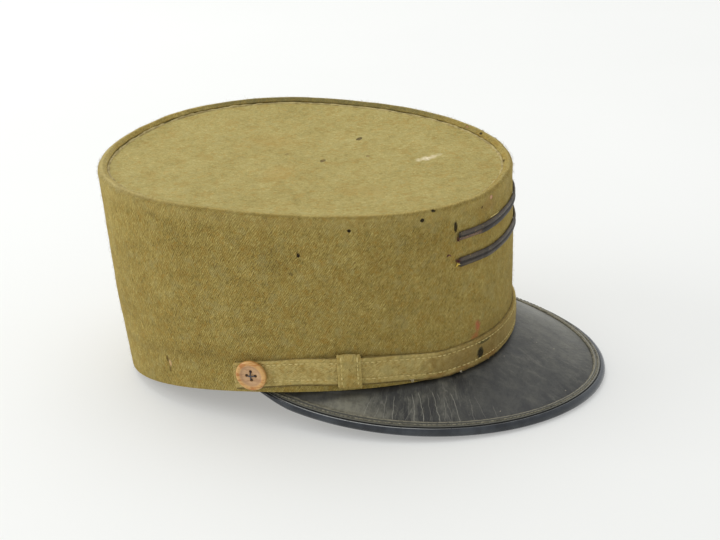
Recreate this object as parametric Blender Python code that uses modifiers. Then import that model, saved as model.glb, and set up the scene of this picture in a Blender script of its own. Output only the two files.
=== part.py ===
"""Kepi cap: an oval cloth crown with a recessed flat top, a leather peak with a rolled edging,
a chin strap between two buttons and two rows of braid across the front.

Metres, +Z up. The cap stands on the rear of its hem and on the tip of its peak. The front faces
-Y, the wearer's left is +X, and the origin is the middle of the floor that the cap covers.
A turn runs round the cap from the middle of the rear, so pi is the middle of the front.
"""
import math

import bmesh
import bpy
from mathutils import Vector

CLEARANCE = 0.0003

# Hem, the oval edge round the head. It arches over the sides and rises to the front. The rear
# share makes an oval that much wider towards the rear, and narrower towards the front.
HEM_LENGTH = 0.204
HEM_WIDTH = 0.1693
HEM_SQUARENESS = 2.18
HEM_REAR_SHARE = 0.046
HEM_FRONT_RISE = 0.0202
HEM_SIDE_ARCH = 0.0079
HEM_PRESS = 0.0009
HEM_ROUND = 0.0006

# Rim, the larger oval edge at the top, and the cloth that turns in from it to the flat top.
RIM_LENGTH = 0.213
RIM_WIDTH = 0.1754
RIM_SQUARENESS = 2.26
RIM_REAR_SHARE = 0.068
RIM_SET_BACK = 0.0031
RIM_HEIGHT = 0.1119
RIM_REAR_RISE = 0.0042
RIM_SIDE_ARCH = 0.0013
RIM_ROLL = 0.0022
RIM_ROLL_SWEEP = math.radians(115)
RIM_TURN_IN = 0.0054
RIM_EDGE = 0.0010

# Cloth of the wall and of the flat top.
WALL = 0.0026
WALL_REAR_SWELL = 0.0009
TOP_DROP = 0.0024
TOP_THICKNESS = 0.0022

# Shares of the wall's height between which it has rows of points, and of the way out to the
# edge of the top at which that has rings of points.
WALL_ROW_SHARES = (0.15, 0.90)
TOP_RING_SHARES = (0.35, 0.70, 0.90, 1.00)

# Peak, measured at the middle of its rolled edging. It is widest ahead of the hem's middle.
PEAK_FLARE = 0.0027
PEAK_REACH = 0.0482
PEAK_WIDEST = 0.0422
PEAK_SQUARENESS = 1.954
PEAK_WRAP = math.radians(22)
PEAK_FALL = 1.967
PEAK_TUCK = 0.0120
PEAK_TUCK_POWER = 7
PEAK_THICKNESS = 0.0022
BINDING_LEATHER = 0.0012
BINDING_LAP = 0.0038

# Chin strap, its keepers and its buttons.
STRAP_WIDTH = 0.0136
STRAP_THICKNESS = 0.0016
STRAP_END = math.radians(94.5)
LOOP_PLACE = math.radians(65.2)
LOOP_WIDTH = 0.0112
LOOP_THICKNESS = 0.0012
LOOP_SLACK = 0.0006
LOOP_EASE = 0.0220
BUTTON_PLACE = math.radians(90)
BUTTON_LIFT = 0.0009
BUTTON_DIAMETER = 0.0160
BUTTON_THICKNESS = 0.0032
BUTTON_RING = 0.0019
BUTTON_HOLE = 0.0017
BUTTON_HOLE_CIRCLE = 0.0046

# Lower edge of the strap on one side, from the front round to the end of the strap.
# Columns: share of the way to the end, height above the hem as a share of the strap's width
STRAP_LINE = (
    (0.00, 0.090),
    (0.30, 0.080),
    (0.39, 0.075),
    (0.50, 0.200),
    (0.58, 0.285),
    (0.66, 0.345),
    (0.73, 0.380),
    (0.81, 0.385),
    (0.88, 0.340),
    (0.94, 0.280),
    (1.00, 0.210),
)

# Section of the button, from the foot of its raised ring over the crest and round to its back.
# Columns: inset from the edge as a share of the ring's width, height as a share of the thickness
BUTTON_SECTION = (
    (2.00, 0.72),
    (1.30, 0.85),
    (1.00, 0.97),
    (0.60, 1.00),
    (0.20, 0.88),
    (0.00, 0.65),
    (0.15, 0.30),
    (0.90, 0.00),
)

# Braid: each row is two cords side by side.
BRAID_REACH = math.radians(28)
BRAID_CORD = 0.0026
BRAID_PITCH = 0.0024
BRAID_PROUD = 0.0015
BRAID_UNDERCUT = math.radians(20)
BRAID_UPPER_DROP = 0.0168
BRAID_LOWER_DROP = 0.0303

AROUND_STEPS = 64
PEAK_STEPS = 54
STRAP_STEPS = 76
LOOP_STEPS = 4
BRAID_STEPS = 22
BUTTON_STEPS = 32
HOLE_STEPS = 12
SHARP_ANGLE = math.radians(40)

HALF_TURN = math.pi
FULL_TURN = 2 * math.pi
BINDING_RADIUS = PEAK_THICKNESS / 2 + CLEARANCE + BINDING_LEATHER
PEAK_WIDTH = HEM_WIDTH + PEAK_FLARE
PEAK_LENGTH = HEM_LENGTH / 2 + PEAK_REACH - PEAK_WIDEST

# The hem's middle lies this far behind the origin, which is midway between the tip and the rear.
FRONT_END = HEM_LENGTH / 2 + PEAK_REACH + BINDING_RADIUS
REAR_END = max(HEM_LENGTH / 2, RIM_LENGTH / 2 + RIM_SET_BACK)
HEM_MIDDLE = (FRONT_END - REAR_END) / 2


def curve_share(value, squareness):
    """A sine or cosine drawn towards that of a rounded square."""
    return math.copysign(abs(value) ** (2 / squareness), value)


def oval(turn, length, width, squareness, rear_share, inset):
    """A point of an egg-shaped oval, this far inside its edge, as x and y."""
    across = (width / 2 - inset) * curve_share(math.sin(turn), squareness)
    along = (length / 2 - inset) * curve_share(math.cos(turn), squareness)
    return across * (1 + rear_share * math.cos(turn)), along


def hem_point(turn, inset=0.0):
    """A point of the hem's lower edge, flattened where the floor carries it."""
    shape = (HEM_LENGTH, HEM_WIDTH, HEM_SQUARENESS, HEM_REAR_SHARE)
    x, y = oval(turn, *shape, inset)
    edge_y = oval(turn, *shape, 0)[1]
    rise = HEM_FRONT_RISE * (0.5 - edge_y / HEM_LENGTH)
    arch = HEM_SIDE_ARCH * math.sin(turn) ** 2
    return Vector((x, HEM_MIDDLE + y, max(0.0, rise + arch - HEM_PRESS)))


def rim_level(turn, y, share):
    """Height of the rim's surface, or of a share of it nearer the middle of the top."""
    return RIM_HEIGHT + RIM_REAR_RISE * y / RIM_LENGTH - RIM_SIDE_ARCH * math.cos(2 * turn) * share ** 2


def rim_point(turn, inset=0.0):
    """A point of the crest of the rim."""
    shape = (RIM_LENGTH, RIM_WIDTH, RIM_SQUARENESS, RIM_REAR_SHARE)
    x, y = oval(turn, *shape, inset)
    edge_y = oval(turn, *shape, 0)[1]
    return Vector((x, HEM_MIDDLE + RIM_SET_BACK + y, rim_level(turn, edge_y, 1)))


def crown_point(turn, share, inset=0.0, drop=0.0):
    """A point of the wall at a share of its height, less a drop, and this far inside its face."""
    level = share - drop / (rim_point(turn).z - hem_point(turn).z)
    swell = WALL_REAR_SWELL * max(0.0, math.cos(turn)) * math.sin(math.pi * level)
    return hem_point(turn, inset - swell).lerp(rim_point(turn, inset - swell), level)


def wall_point(turn, up, out):
    """A point this far up from the hem, standing out from the wall's face."""
    return crown_point(turn, 0, -out, -up)


def below_rim_point(turn, down, out):
    """A point this far down from the rim, standing out from the wall's face."""
    return crown_point(turn, 1, -out, down)


def hem_turn_at(y):
    """The turn on the wearer's left at which the hem's edge has this y."""
    share = max(-1.0, min(1.0, (y - HEM_MIDDLE) / (HEM_LENGTH / 2)))
    return math.acos(math.copysign(abs(share) ** (HEM_SQUARENESS / 2), share))


def turn_across(turn, length):
    """The turn that covers a length along the hem at this place."""
    step = FULL_TURN / (4 * AROUND_STEPS)
    chord = hem_point(turn + step) - hem_point(turn - step)
    return 2 * step * length / chord.length


def smooth(value):
    """Eases from 0 to 1."""
    value = min(1.0, max(0.0, value))
    return value * value * (3 - 2 * value)


def slope_at(rows, index):
    """Slope of a two-column table at a row, level at its first row."""
    if index == 0:
        return 0.0
    after = min(index + 1, len(rows) - 1)
    return (rows[after][1] - rows[index - 1][1]) / (rows[after][0] - rows[index - 1][0])


def read_line(rows, place):
    """Reads a two-column table along a smooth curve through its rows."""
    index = 0
    while index < len(rows) - 2 and place > rows[index + 1][0]:
        index += 1
    start, low = rows[index]
    stop, high = rows[index + 1]
    span = stop - start
    way = min(1.0, (place - start) / span)
    blend = smooth(way)
    leave = way * (1 - way) ** 2 * span * slope_at(rows, index)
    arrive = way ** 2 * (1 - way) * span * slope_at(rows, index + 1)
    return low + (high - low) * blend + leave - arrive


def spread(start, stop, steps):
    """Evenly spaced values from start to stop."""
    return [start + (stop - start) * step / steps for step in range(steps + 1)]


def material(name, color, roughness, metallic=0.0):
    """A plain surface for one piece."""
    surface = bpy.data.materials.new(name)
    surface.use_nodes = True
    shader = surface.node_tree.nodes["Principled BSDF"]
    shader.inputs["Base Color"].default_value = (*color, 1)
    shader.inputs["Roughness"].default_value = roughness
    shader.inputs["Metallic"].default_value = metallic
    return surface


def add_object(name, mesh, surface, collection):
    """Puts a mesh in the scene as one named piece."""
    mesh.materials.append(surface)
    mesh.shade_smooth()
    mesh.set_sharp_from_angle(angle=SHARP_ANGLE)
    piece = bpy.data.objects.new(name, mesh)
    collection.objects.link(piece)
    return piece


def skin(name, rings, ring_closed, row_closed, capped=False):
    """A mesh skinned over rings of points, each with as many points as the next."""
    work = bmesh.new()
    rows = [[work.verts.new(point) for point in ring] for ring in rings]
    pairs = list(zip(rows, rows[1:]))
    if row_closed:
        pairs.append((rows[-1], rows[0]))
    for row, following in pairs:
        count = len(row)
        for index in range(count if ring_closed else count - 1):
            beside = (index + 1) % count
            work.faces.new((row[index], row[beside], following[beside], following[index]))
    if capped:
        work.faces.new(rows[0])
        work.faces.new(rows[-1])
    bmesh.ops.recalc_face_normals(work, faces=work.faces)
    mesh = bpy.data.meshes.new(name)
    work.to_mesh(mesh)
    work.free()
    return mesh


def wall_section():
    """The wall's section, up the outside, over the rim and down the inside.

    Each entry is a share of the height, an inset from the outer face and a drop.
    """
    section = []
    for angle in spread(0, math.pi / 2, 2):
        section.append((0, HEM_ROUND * (1 - math.sin(angle)), -HEM_ROUND * (1 - math.cos(angle))))
    lowest, highest = WALL_ROW_SHARES
    section += [(share, 0, 0) for share in spread(lowest, highest, 5)]
    for angle in spread(0, RIM_ROLL_SWEEP, 5):
        section.append((1, RIM_ROLL * (1 - math.cos(angle)), RIM_ROLL * (1 - math.sin(angle))))
    edge_radius = RIM_EDGE / 2
    edge_middle = TOP_DROP - CLEARANCE - edge_radius
    for angle in spread(-math.pi / 2, math.pi / 2, 3):
        inset = RIM_TURN_IN - edge_radius + edge_radius * math.cos(angle)
        section.append((1, inset, edge_middle + edge_radius * math.sin(angle)))
    section.append((1, WALL, TOP_DROP - CLEARANCE))
    section += [(share, WALL, 0) for share in spread(highest, lowest, 3)]
    section.append((0, WALL, -HEM_ROUND))
    section.append((0, WALL - HEM_ROUND, 0))
    return section


def make_crown_wall(collection):
    """The cloth side of the cap, one closed wall with a turned-in rim."""
    turns = [FULL_TURN * step / AROUND_STEPS for step in range(AROUND_STEPS)]
    section = wall_section()
    rings = [[crown_point(turn, share, inset, drop) for turn in turns] for share, inset, drop in section]
    mesh = skin("crown_wall", rings, ring_closed=True, row_closed=True)
    add_object("crown_wall", mesh, material("khaki_wool", (0.20, 0.15, 0.055), 0.95), collection)


def make_crown_top(collection):
    """The flat oval top, whose edge lies under the rim's turned-in cloth."""
    work = bmesh.new()
    middle_y = HEM_MIDDLE + RIM_SET_BACK
    middle = work.verts.new((0, middle_y, rim_level(0, 0, 0) - TOP_DROP))
    inner = None
    for share in TOP_RING_SHARES:
        ring = []
        for step in range(AROUND_STEPS):
            turn = FULL_TURN * step / AROUND_STEPS
            edge = crown_point(turn, 1, WALL + CLEARANCE, TOP_DROP)
            x = edge.x * share
            y = (edge.y - middle_y) * share
            edge_level = rim_level(turn, edge.y - middle_y, 1) - TOP_DROP
            level = rim_level(turn, y, share) - TOP_DROP + (edge.z - edge_level) * share
            ring.append(work.verts.new((x, middle_y + y, level)))
        for index, vertex in enumerate(ring):
            beside = (index + 1) % AROUND_STEPS
            if inner:
                work.faces.new((inner[index], vertex, ring[beside], inner[beside]))
            else:
                work.faces.new((middle, vertex, ring[beside]))
        inner = ring
    bmesh.ops.recalc_face_normals(work, faces=work.faces)
    if sum(face.normal.z for face in work.faces) < 0:
        bmesh.ops.reverse_faces(work, faces=work.faces)
    mesh = bpy.data.meshes.new("crown_top")
    work.to_mesh(mesh)
    work.free()
    piece = add_object("crown_top", mesh, material("khaki_top", (0.33, 0.27, 0.11), 0.95), collection)
    shell = piece.modifiers.new("Cloth", "SOLIDIFY")
    shell.thickness = TOP_THICKNESS
    shell.offset = -1


def peak_corner():
    """The turn, from the front, at which the peak's edge ends under the hem."""
    sweep = math.pi / 2 + PEAK_WRAP
    y = HEM_MIDDLE - PEAK_WIDEST - PEAK_LENGTH * curve_share(math.cos(sweep), PEAK_SQUARENESS)
    return HALF_TURN - hem_turn_at(y), y


def peak_edge(place):
    """The middle of the rolled edging, at a place from -1 at one corner to 1 at the other."""
    sweep = place * (math.pi / 2 + PEAK_WRAP)
    corner, corner_y = peak_corner()
    x = -PEAK_WIDTH / 2 * curve_share(math.sin(sweep), PEAK_SQUARENESS)
    y = HEM_MIDDLE - PEAK_WIDEST - PEAK_LENGTH * curve_share(math.cos(sweep), PEAK_SQUARENESS)
    tip_y = HEM_MIDDLE - PEAK_WIDEST - PEAK_LENGTH
    corner_z = hem_point(HALF_TURN + corner).z - CLEARANCE - BINDING_RADIUS
    way = (y - tip_y) / (corner_y - tip_y)
    return Vector((x, y, BINDING_RADIUS + (corner_z - BINDING_RADIUS) * way ** PEAK_FALL))


def peak_root(place, inset):
    """The plate's upper face under the hem, which tucks in towards the corners."""
    corner, _ = peak_corner()
    turn = HALF_TURN + place * corner
    tuck = abs(place) ** PEAK_TUCK_POWER
    point = hem_point(turn, PEAK_TUCK * tuck + inset)
    point.z = hem_point(turn).z - CLEARANCE
    return point


def peak_frame(place):
    """The edging's middle with its directions inwards along the plate and up from it."""
    step = 0.5 / PEAK_STEPS
    along = (peak_edge(min(1, place + step)) - peak_edge(max(-1, place - step))).normalized()
    middle = peak_edge(place)
    up = Vector((0, 0, 1))
    for _ in range(4):
        inwards = peak_root(place, 0) - up * PEAK_THICKNESS / 2 - middle
        inwards = (inwards - along * inwards.dot(along)).normalized()
        up = along.cross(inwards)
        up = up if up.z > 0 else -up
    return middle, inwards, up


def peak_places():
    """Places along the peak's edge, closer together towards the corners, where it twists."""
    return [(place + math.sin(place * math.pi / 2)) / 2 for place in spread(-1, 1, PEAK_STEPS)]


def make_peak(collection):
    """The leather plate, a shell hung from its upper face."""
    rows = []
    for place in peak_places():
        middle, inwards, up = peak_frame(place)
        edge = middle + up * PEAK_THICKNESS / 2
        lap = edge + inwards * (BINDING_LAP + CLEARANCE)
        root = peak_root(place, 0)
        rows.append([peak_root(place, WALL), root, root.lerp(lap, 0.5), lap, edge])
    mesh = skin("peak", rows, ring_closed=False, row_closed=False)
    if sum(face.normal.z for face in mesh.polygons) < 0:
        mesh.flip_normals()
    piece = add_object("peak", mesh, material("black_leather", (0.035, 0.036, 0.036), 0.42), collection)
    plate = piece.modifiers.new("Leather", "SOLIDIFY")
    plate.thickness = PEAK_THICKNESS
    plate.offset = -1
    plate.use_even_offset = True


def make_peak_binding(collection):
    """The edging: a strip folded over the plate's edge, round outside and flat on both faces."""
    inner_radius = BINDING_RADIUS - BINDING_LEATHER
    section = [(BINDING_LAP, BINDING_RADIUS)]
    for angle in spread(math.pi / 2, -math.pi / 2, 6):
        section.append((-BINDING_RADIUS * math.cos(angle), BINDING_RADIUS * math.sin(angle)))
    section.append((BINDING_LAP, -BINDING_RADIUS))
    section.append((BINDING_LAP, -inner_radius))
    for angle in spread(-math.pi / 2, math.pi / 2, 4):
        section.append((-inner_radius * math.cos(angle), inner_radius * math.sin(angle)))
    section.append((BINDING_LAP, inner_radius))
    rings = []
    for place in peak_places():
        middle, inwards, up = peak_frame(place)
        rings.append([middle + inwards * across + up * rise for across, rise in section])
    mesh = skin("peak_binding", rings, ring_closed=True, row_closed=False, capped=True)
    add_object("peak_binding", mesh, material("binding_leather", (0.03, 0.036, 0.045), 0.3), collection)


def strap_stand_off(turn):
    """How far the strap's inner face stands off the wall, more where a keeper passes behind it."""
    away = abs(abs(turn - HALF_TURN) - LOOP_PLACE) / turn_across(HALF_TURN + LOOP_PLACE, 1)
    flat = LOOP_WIDTH / 2 + CLEARANCE
    ease = 1 - smooth((away - flat) / LOOP_EASE)
    return CLEARANCE + ease * (LOOP_THICKNESS + CLEARANCE)


def strap_lower_edge(turn):
    """Height of the strap's lower edge above the hem."""
    place = abs(turn - HALF_TURN) / STRAP_END
    return STRAP_WIDTH * read_line(STRAP_LINE, place)


def band_section(low, high, near, far, round_off):
    """A band's section with its four corners taken off, as heights and stand-offs."""
    return [
        (low + round_off, near),
        (high - round_off, near),
        (high, near + round_off),
        (high, far - round_off),
        (high - round_off, far),
        (low + round_off, far),
        (low, far - round_off),
        (low, near + round_off),
    ]


def make_chin_strap(collection):
    """The strap round the front of the cap, from one side to the other."""
    rings = []
    for turn in spread(HALF_TURN - STRAP_END, HALF_TURN + STRAP_END, STRAP_STEPS):
        low = strap_lower_edge(turn)
        near = strap_stand_off(turn)
        far = near + STRAP_THICKNESS
        section = band_section(low, low + STRAP_WIDTH, near, far, STRAP_THICKNESS / 4)
        rings.append([wall_point(turn, up, out) for up, out in section])
    mesh = skin("chin_strap", rings, ring_closed=True, row_closed=False, capped=True)
    add_object("chin_strap", mesh, material("khaki_strap", (0.30, 0.235, 0.10), 0.95), collection)


def make_strap_loop(name, side, collection):
    """A keeper: a closed band of cloth that passes in front of the strap and behind it."""
    middle = HALF_TURN + side * LOOP_PLACE
    half = turn_across(middle, LOOP_WIDTH) / 2
    outer = []
    inner = []
    for turn in spread(middle - half, middle + half, LOOP_STEPS):
        low = strap_lower_edge(turn) - CLEARANCE - LOOP_SLACK
        high = strap_lower_edge(turn) + STRAP_WIDTH + CLEARANCE + LOOP_SLACK
        near = strap_stand_off(turn) - CLEARANCE
        far = strap_stand_off(turn) + STRAP_THICKNESS + CLEARANCE
        inside = band_section(low, high, near, far, STRAP_THICKNESS / 4)
        low -= LOOP_THICKNESS
        high += LOOP_THICKNESS
        near -= LOOP_THICKNESS
        far += LOOP_THICKNESS
        outside = band_section(low, high, near, far, LOOP_THICKNESS / 2)
        outer.append([wall_point(turn, up, out) for up, out in outside])
        inner.append([wall_point(turn, up, out) for up, out in inside])
    mesh = skin(name, outer + inner[::-1], ring_closed=True, row_closed=True)
    add_object(name, mesh, material("khaki_loop", (0.27, 0.21, 0.085), 0.95), collection)


def button_profile():
    """Half of the button's section, from the middle of its face round to the middle of its back."""
    profile = []
    for inset, height in BUTTON_SECTION:
        across = BUTTON_DIAMETER / 2 - inset * BUTTON_RING
        profile.append((across, (height - 0.5) * BUTTON_THICKNESS))
    return [(0, profile[0][1])] + profile + [(0, profile[-1][1])]


def make_button(name, side, collection, cutters):
    """A dished four-hole button, turned about its own axis and set on the strap."""
    work = bmesh.new()
    points = [work.verts.new((across, 0, rise)) for across, rise in button_profile()]
    for point, following in zip(points, points[1:]):
        work.edges.new((point, following))
    mesh = bpy.data.meshes.new(name)
    work.to_mesh(mesh)
    work.free()
    button = add_object(name, mesh, material("corozo", (0.50, 0.25, 0.085), 0.4), collection)
    turned = button.modifiers.new("Turn", "SCREW")
    turned.steps = BUTTON_STEPS
    turned.render_steps = BUTTON_STEPS
    turned.use_merge_vertices = True
    turned.merge_threshold = 0.00001
    drills = bpy.data.meshes.new(name + "_drills")
    work = bmesh.new()
    for quarter in range(4):
        hole = bmesh.ops.create_cone(
            work,
            cap_ends=True,
            segments=HOLE_STEPS,
            radius1=BUTTON_HOLE / 2,
            radius2=BUTTON_HOLE / 2,
            depth=3 * BUTTON_THICKNESS,
        )
        angle = quarter * math.pi / 2
        place = Vector((math.cos(angle), math.sin(angle), 0)) * BUTTON_HOLE_CIRCLE / 2
        bmesh.ops.translate(work, verts=hole["verts"], vec=place)
    work.to_mesh(drills)
    work.free()
    cutter = bpy.data.objects.new(name + "_drills", drills)
    cutter.hide_render = True
    cutter.display_type = "WIRE"
    cutters.objects.link(cutter)
    cut = button.modifiers.new("Holes", "BOOLEAN")
    cut.operation = "DIFFERENCE"
    cut.object = cutter
    turn = HALF_TURN + side * BUTTON_PLACE
    up = strap_lower_edge(turn) + STRAP_WIDTH / 2 + BUTTON_LIFT
    seat = strap_stand_off(turn) + STRAP_THICKNESS + CLEARANCE
    at_seat = wall_point(turn, up, seat)
    ahead = turn_across(turn, BUTTON_DIAMETER / 2)
    along = wall_point(turn + ahead, up, seat) - wall_point(turn - ahead, up, seat)
    upright = wall_point(turn, up + BUTTON_DIAMETER / 2, seat) - at_seat
    facing = upright.cross(along).normalized()
    for placed in (button, cutter):
        placed.rotation_mode = "QUATERNION"
        placed.rotation_quaternion = facing.to_track_quat("Z", "Y")
        placed.location = at_seat + facing * BUTTON_THICKNESS / 2


def braid_section():
    """Two cords side by side on a flat back, as drops from the row's middle and stand-offs."""
    cord = BRAID_CORD / 2
    middle = BRAID_PITCH / 2
    groove = math.acos(middle / cord)
    arcs = (
        (-middle, HALF_TURN + BRAID_UNDERCUT, groove),
        (middle, HALF_TURN - groove, -BRAID_UNDERCUT),
    )
    section = []
    for centre, start, stop in arcs:
        for angle in spread(start, stop, 5):
            out = BRAID_PROUD / 2 * (1 + math.sin(angle))
            section.append((centre + cord * math.cos(angle), CLEARANCE + out))
    return section


def make_braid(name, drop, collection):
    """A row of braid laid on the wall across the front."""
    rings = []
    for turn in spread(HALF_TURN - BRAID_REACH, HALF_TURN + BRAID_REACH, BRAID_STEPS):
        rings.append([below_rim_point(turn, drop + down, out) for down, out in braid_section()])
    mesh = skin(name, rings, ring_closed=True, row_closed=False, capped=True)
    add_object(name, mesh, material("tarnished_braid", (0.08, 0.07, 0.065), 0.55, 0.3), collection)


def main():
    """Builds the cap in an empty scene."""
    for existing in list(bpy.data.objects):
        bpy.data.objects.remove(existing)
    cap = bpy.data.collections.new("kepi_cap")
    cutters = bpy.data.collections.new("cutters")
    bpy.context.scene.collection.children.link(cap)
    bpy.context.scene.collection.children.link(cutters)
    make_crown_wall(cap)
    make_crown_top(cap)
    make_peak(cap)
    make_peak_binding(cap)
    make_chin_strap(cap)
    for name, side in (("right", 1), ("left", -1)):
        make_strap_loop("strap_loop_" + name, side, cap)
        make_button("button_" + name, side, cap, cutters)
    make_braid("braid_upper", BRAID_UPPER_DROP, cap)
    make_braid("braid_lower", BRAID_LOWER_DROP, cap)


main()
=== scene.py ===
# %% [markdown]
# A kepi is a stiff oval cap: a cloth wall, a flat cloth top sunk a little below the rim, and a
# leather peak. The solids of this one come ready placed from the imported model. This lesson lays
# finer skins of cloth and leather over them, adds the threads, braid and wear, and lights it all.

# %% Load the frame
import math
import random
from bisect import bisect_left

import bmesh
import bpy
from mathutils import Matrix, Vector, noise


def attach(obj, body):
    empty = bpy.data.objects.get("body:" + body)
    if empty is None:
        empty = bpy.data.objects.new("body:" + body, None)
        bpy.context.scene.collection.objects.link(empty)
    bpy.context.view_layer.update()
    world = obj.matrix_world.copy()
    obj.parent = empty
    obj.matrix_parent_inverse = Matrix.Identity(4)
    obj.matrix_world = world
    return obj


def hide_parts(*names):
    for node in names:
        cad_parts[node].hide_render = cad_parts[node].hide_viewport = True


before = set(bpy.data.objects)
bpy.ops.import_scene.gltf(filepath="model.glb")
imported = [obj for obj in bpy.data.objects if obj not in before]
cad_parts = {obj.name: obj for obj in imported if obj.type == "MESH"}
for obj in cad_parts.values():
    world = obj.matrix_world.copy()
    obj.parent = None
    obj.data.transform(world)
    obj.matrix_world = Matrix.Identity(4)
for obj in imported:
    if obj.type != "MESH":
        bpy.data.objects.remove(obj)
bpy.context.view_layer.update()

# %% [markdown]
# The camera stands a little above the cap, off its right front. Its place is worked out from two
# angles and a distance, and it is then turned a little about its own line of sight, because a
# camera held by hand is never quite level.

# %% Camera
HEM_MIDDLE = 0.02155
CAMERA_AZIMUTH = math.radians(-68.2571)
CAMERA_ELEVATION = math.radians(23.017)
CAMERA_ROLL = math.radians(-2.6811)
CAMERA_DISTANCE = 0.93844
CAMERA_SIDEWAYS = 0.02275
CAMERA_RISE = -0.01140
CAMERA_TARGET = Vector((0, HEM_MIDDLE, 0.060))
SENSOR_WIDTH = 36
LENS = 89.563

level = math.cos(CAMERA_ELEVATION)
back = Vector((
    math.sin(CAMERA_AZIMUTH) * level,
    -math.cos(CAMERA_AZIMUTH) * level,
    math.sin(CAMERA_ELEVATION),
))
right = (-back).cross(Vector((0, 0, 1))).normalized()
up = right.cross(-back)
tilt = Matrix.Rotation(CAMERA_ROLL, 3, back)
right = tilt @ right
up = tilt @ up
place = CAMERA_TARGET + back * CAMERA_DISTANCE + right * CAMERA_SIDEWAYS + up * CAMERA_RISE
eye = bpy.data.cameras.new("camera")
eye.sensor_width = SENSOR_WIDTH
eye.lens = LENS
camera = bpy.data.objects.new("camera", eye)
camera.matrix_world = Matrix.Translation(place) @ Matrix((right, up, back)).transposed().to_4x4()
bpy.context.scene.collection.objects.link(camera)
bpy.context.scene.camera = camera
print("camera at", tuple(round(x, 3) for x in place))

# %% [markdown]
# Every skin follows the same shape as the solid under it, so the main sizes of the cap are
# written here once more. A turn runs round the cap from the middle of the rear, and pi is the
# middle of the front. All lengths are in metres.

# %% Sizes of the cap
CLEARANCE = 0.0003
HEM_LENGTH = 0.204
HEM_WIDTH = 0.1693
HEM_SQUARENESS = 2.18
HEM_REAR_SHARE = 0.046
HEM_FRONT_RISE = 0.0202
HEM_SIDE_ARCH = 0.0079
HEM_PRESS = 0.0009
HEM_ROUND = 0.0006
RIM_LENGTH = 0.213
RIM_WIDTH = 0.1754
RIM_SQUARENESS = 2.26
RIM_REAR_SHARE = 0.068
RIM_SET_BACK = 0.0031
RIM_HEIGHT = 0.1119
RIM_REAR_RISE = 0.0042
RIM_SIDE_ARCH = 0.0013
RIM_ROLL = 0.0022
RIM_ROLL_SWEEP = math.radians(115)
RIM_TURN_IN = 0.0047
RIM_EDGE = 0.0010
WALL = 0.0026
WALL_REAR_SWELL = 0.0009
TOP_DROP = 0.0024
TOP_THICKNESS = 0.0022
FULL_TURN = 2 * math.pi
HALF_TURN = math.pi
MM = 0.001


def curve_share(value, squareness):
    """A sine or cosine drawn towards that of a rounded square."""
    return math.copysign(abs(value) ** (2 / squareness), value)


def oval(turn, length, width, squareness, rear_share, inset):
    """A point of an egg-shaped oval, this far inside its edge, as x and y."""
    across = (width / 2 - inset) * curve_share(math.sin(turn), squareness)
    along = (length / 2 - inset) * curve_share(math.cos(turn), squareness)
    return across * (1 + rear_share * math.cos(turn)), along


def hem_point(turn, inset=0.0):
    """A point of the hem's lower edge."""
    shape = (HEM_LENGTH, HEM_WIDTH, HEM_SQUARENESS, HEM_REAR_SHARE)
    x, y = oval(turn, *shape, inset)
    rise = HEM_FRONT_RISE * (0.5 - oval(turn, *shape, 0)[1] / HEM_LENGTH)
    arch = HEM_SIDE_ARCH * math.sin(turn) ** 2
    return Vector((x, HEM_MIDDLE + y, max(0.0, rise + arch - HEM_PRESS)))


def rim_level(turn, y, share):
    """Height of the rim's surface, or of a share of it nearer the middle of the top."""
    return RIM_HEIGHT + RIM_REAR_RISE * y / RIM_LENGTH - RIM_SIDE_ARCH * math.cos(2 * turn) * share ** 2


def rim_point(turn, inset=0.0):
    """A point of the crest of the rim."""
    shape = (RIM_LENGTH, RIM_WIDTH, RIM_SQUARENESS, RIM_REAR_SHARE)
    x, y = oval(turn, *shape, inset)
    return Vector((x, HEM_MIDDLE + RIM_SET_BACK + y, rim_level(turn, oval(turn, *shape, 0)[1], 1)))


def crown_point(turn, share, inset=0.0, drop=0.0):
    """A point of the wall at a share of its height, less a drop, and this far inside its face."""
    height = share - drop / (rim_point(turn).z - hem_point(turn).z)
    swell = WALL_REAR_SWELL * max(0.0, math.cos(turn)) * math.sin(math.pi * height)
    return hem_point(turn, inset - swell).lerp(rim_point(turn, inset - swell), height)


def wall_point(turn, up, out):
    """A point this far up from the hem, standing out from the wall's face."""
    return crown_point(turn, 0, -out, -up)


def below_rim_point(turn, down, out):
    """A point this far down from the rim, standing out from the wall's face."""
    return crown_point(turn, 1, -out, down)


def smooth(value):
    """Eases from 0 to 1."""
    value = min(1.0, max(0.0, value))
    return value * value * (3 - 2 * value)


def spread(start, stop, steps):
    """Evenly spaced values from start to stop."""
    return [start + (stop - start) * step / steps for step in range(steps + 1)]


HEM_TURNS = spread(0, FULL_TURN, 720)
HEM_WAYS = [0.0]
for start, stop in zip(HEM_TURNS, HEM_TURNS[1:]):
    HEM_WAYS.append(HEM_WAYS[-1] + (hem_point(stop) - hem_point(start)).length)


def way_at(turn):
    """How far round the hem a turn lies, in metres."""
    place = turn / FULL_TURN * (len(HEM_TURNS) - 1)
    index = max(0, min(len(HEM_TURNS) - 2, int(place)))
    return HEM_WAYS[index] + (HEM_WAYS[index + 1] - HEM_WAYS[index]) * (place - index)


def turn_at(way):
    """The turn that lies this far round the hem."""
    index = max(1, min(len(HEM_WAYS) - 1, bisect_left(HEM_WAYS, way)))
    share = (way - HEM_WAYS[index - 1]) / (HEM_WAYS[index] - HEM_WAYS[index - 1])
    return HEM_TURNS[index - 1] + (HEM_TURNS[index] - HEM_TURNS[index - 1]) * share


print("the hem is", round(HEM_WAYS[-1], 3), "m round")

# %% [markdown]
# Cloth and leather are all skins here, so one helper makes them. Blender's own grid gives the
# faces and a map for the patterns, and every point is then moved to its place on the piece. The
# map is in metres, so a weave or a row of stitches keeps its real size on each piece.

# %% Helper for skins
def lumps(point, size, height):
    """Soft unevenness of that height, with bumps about that far apart."""
    return height * noise.noise(point / size)


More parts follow.
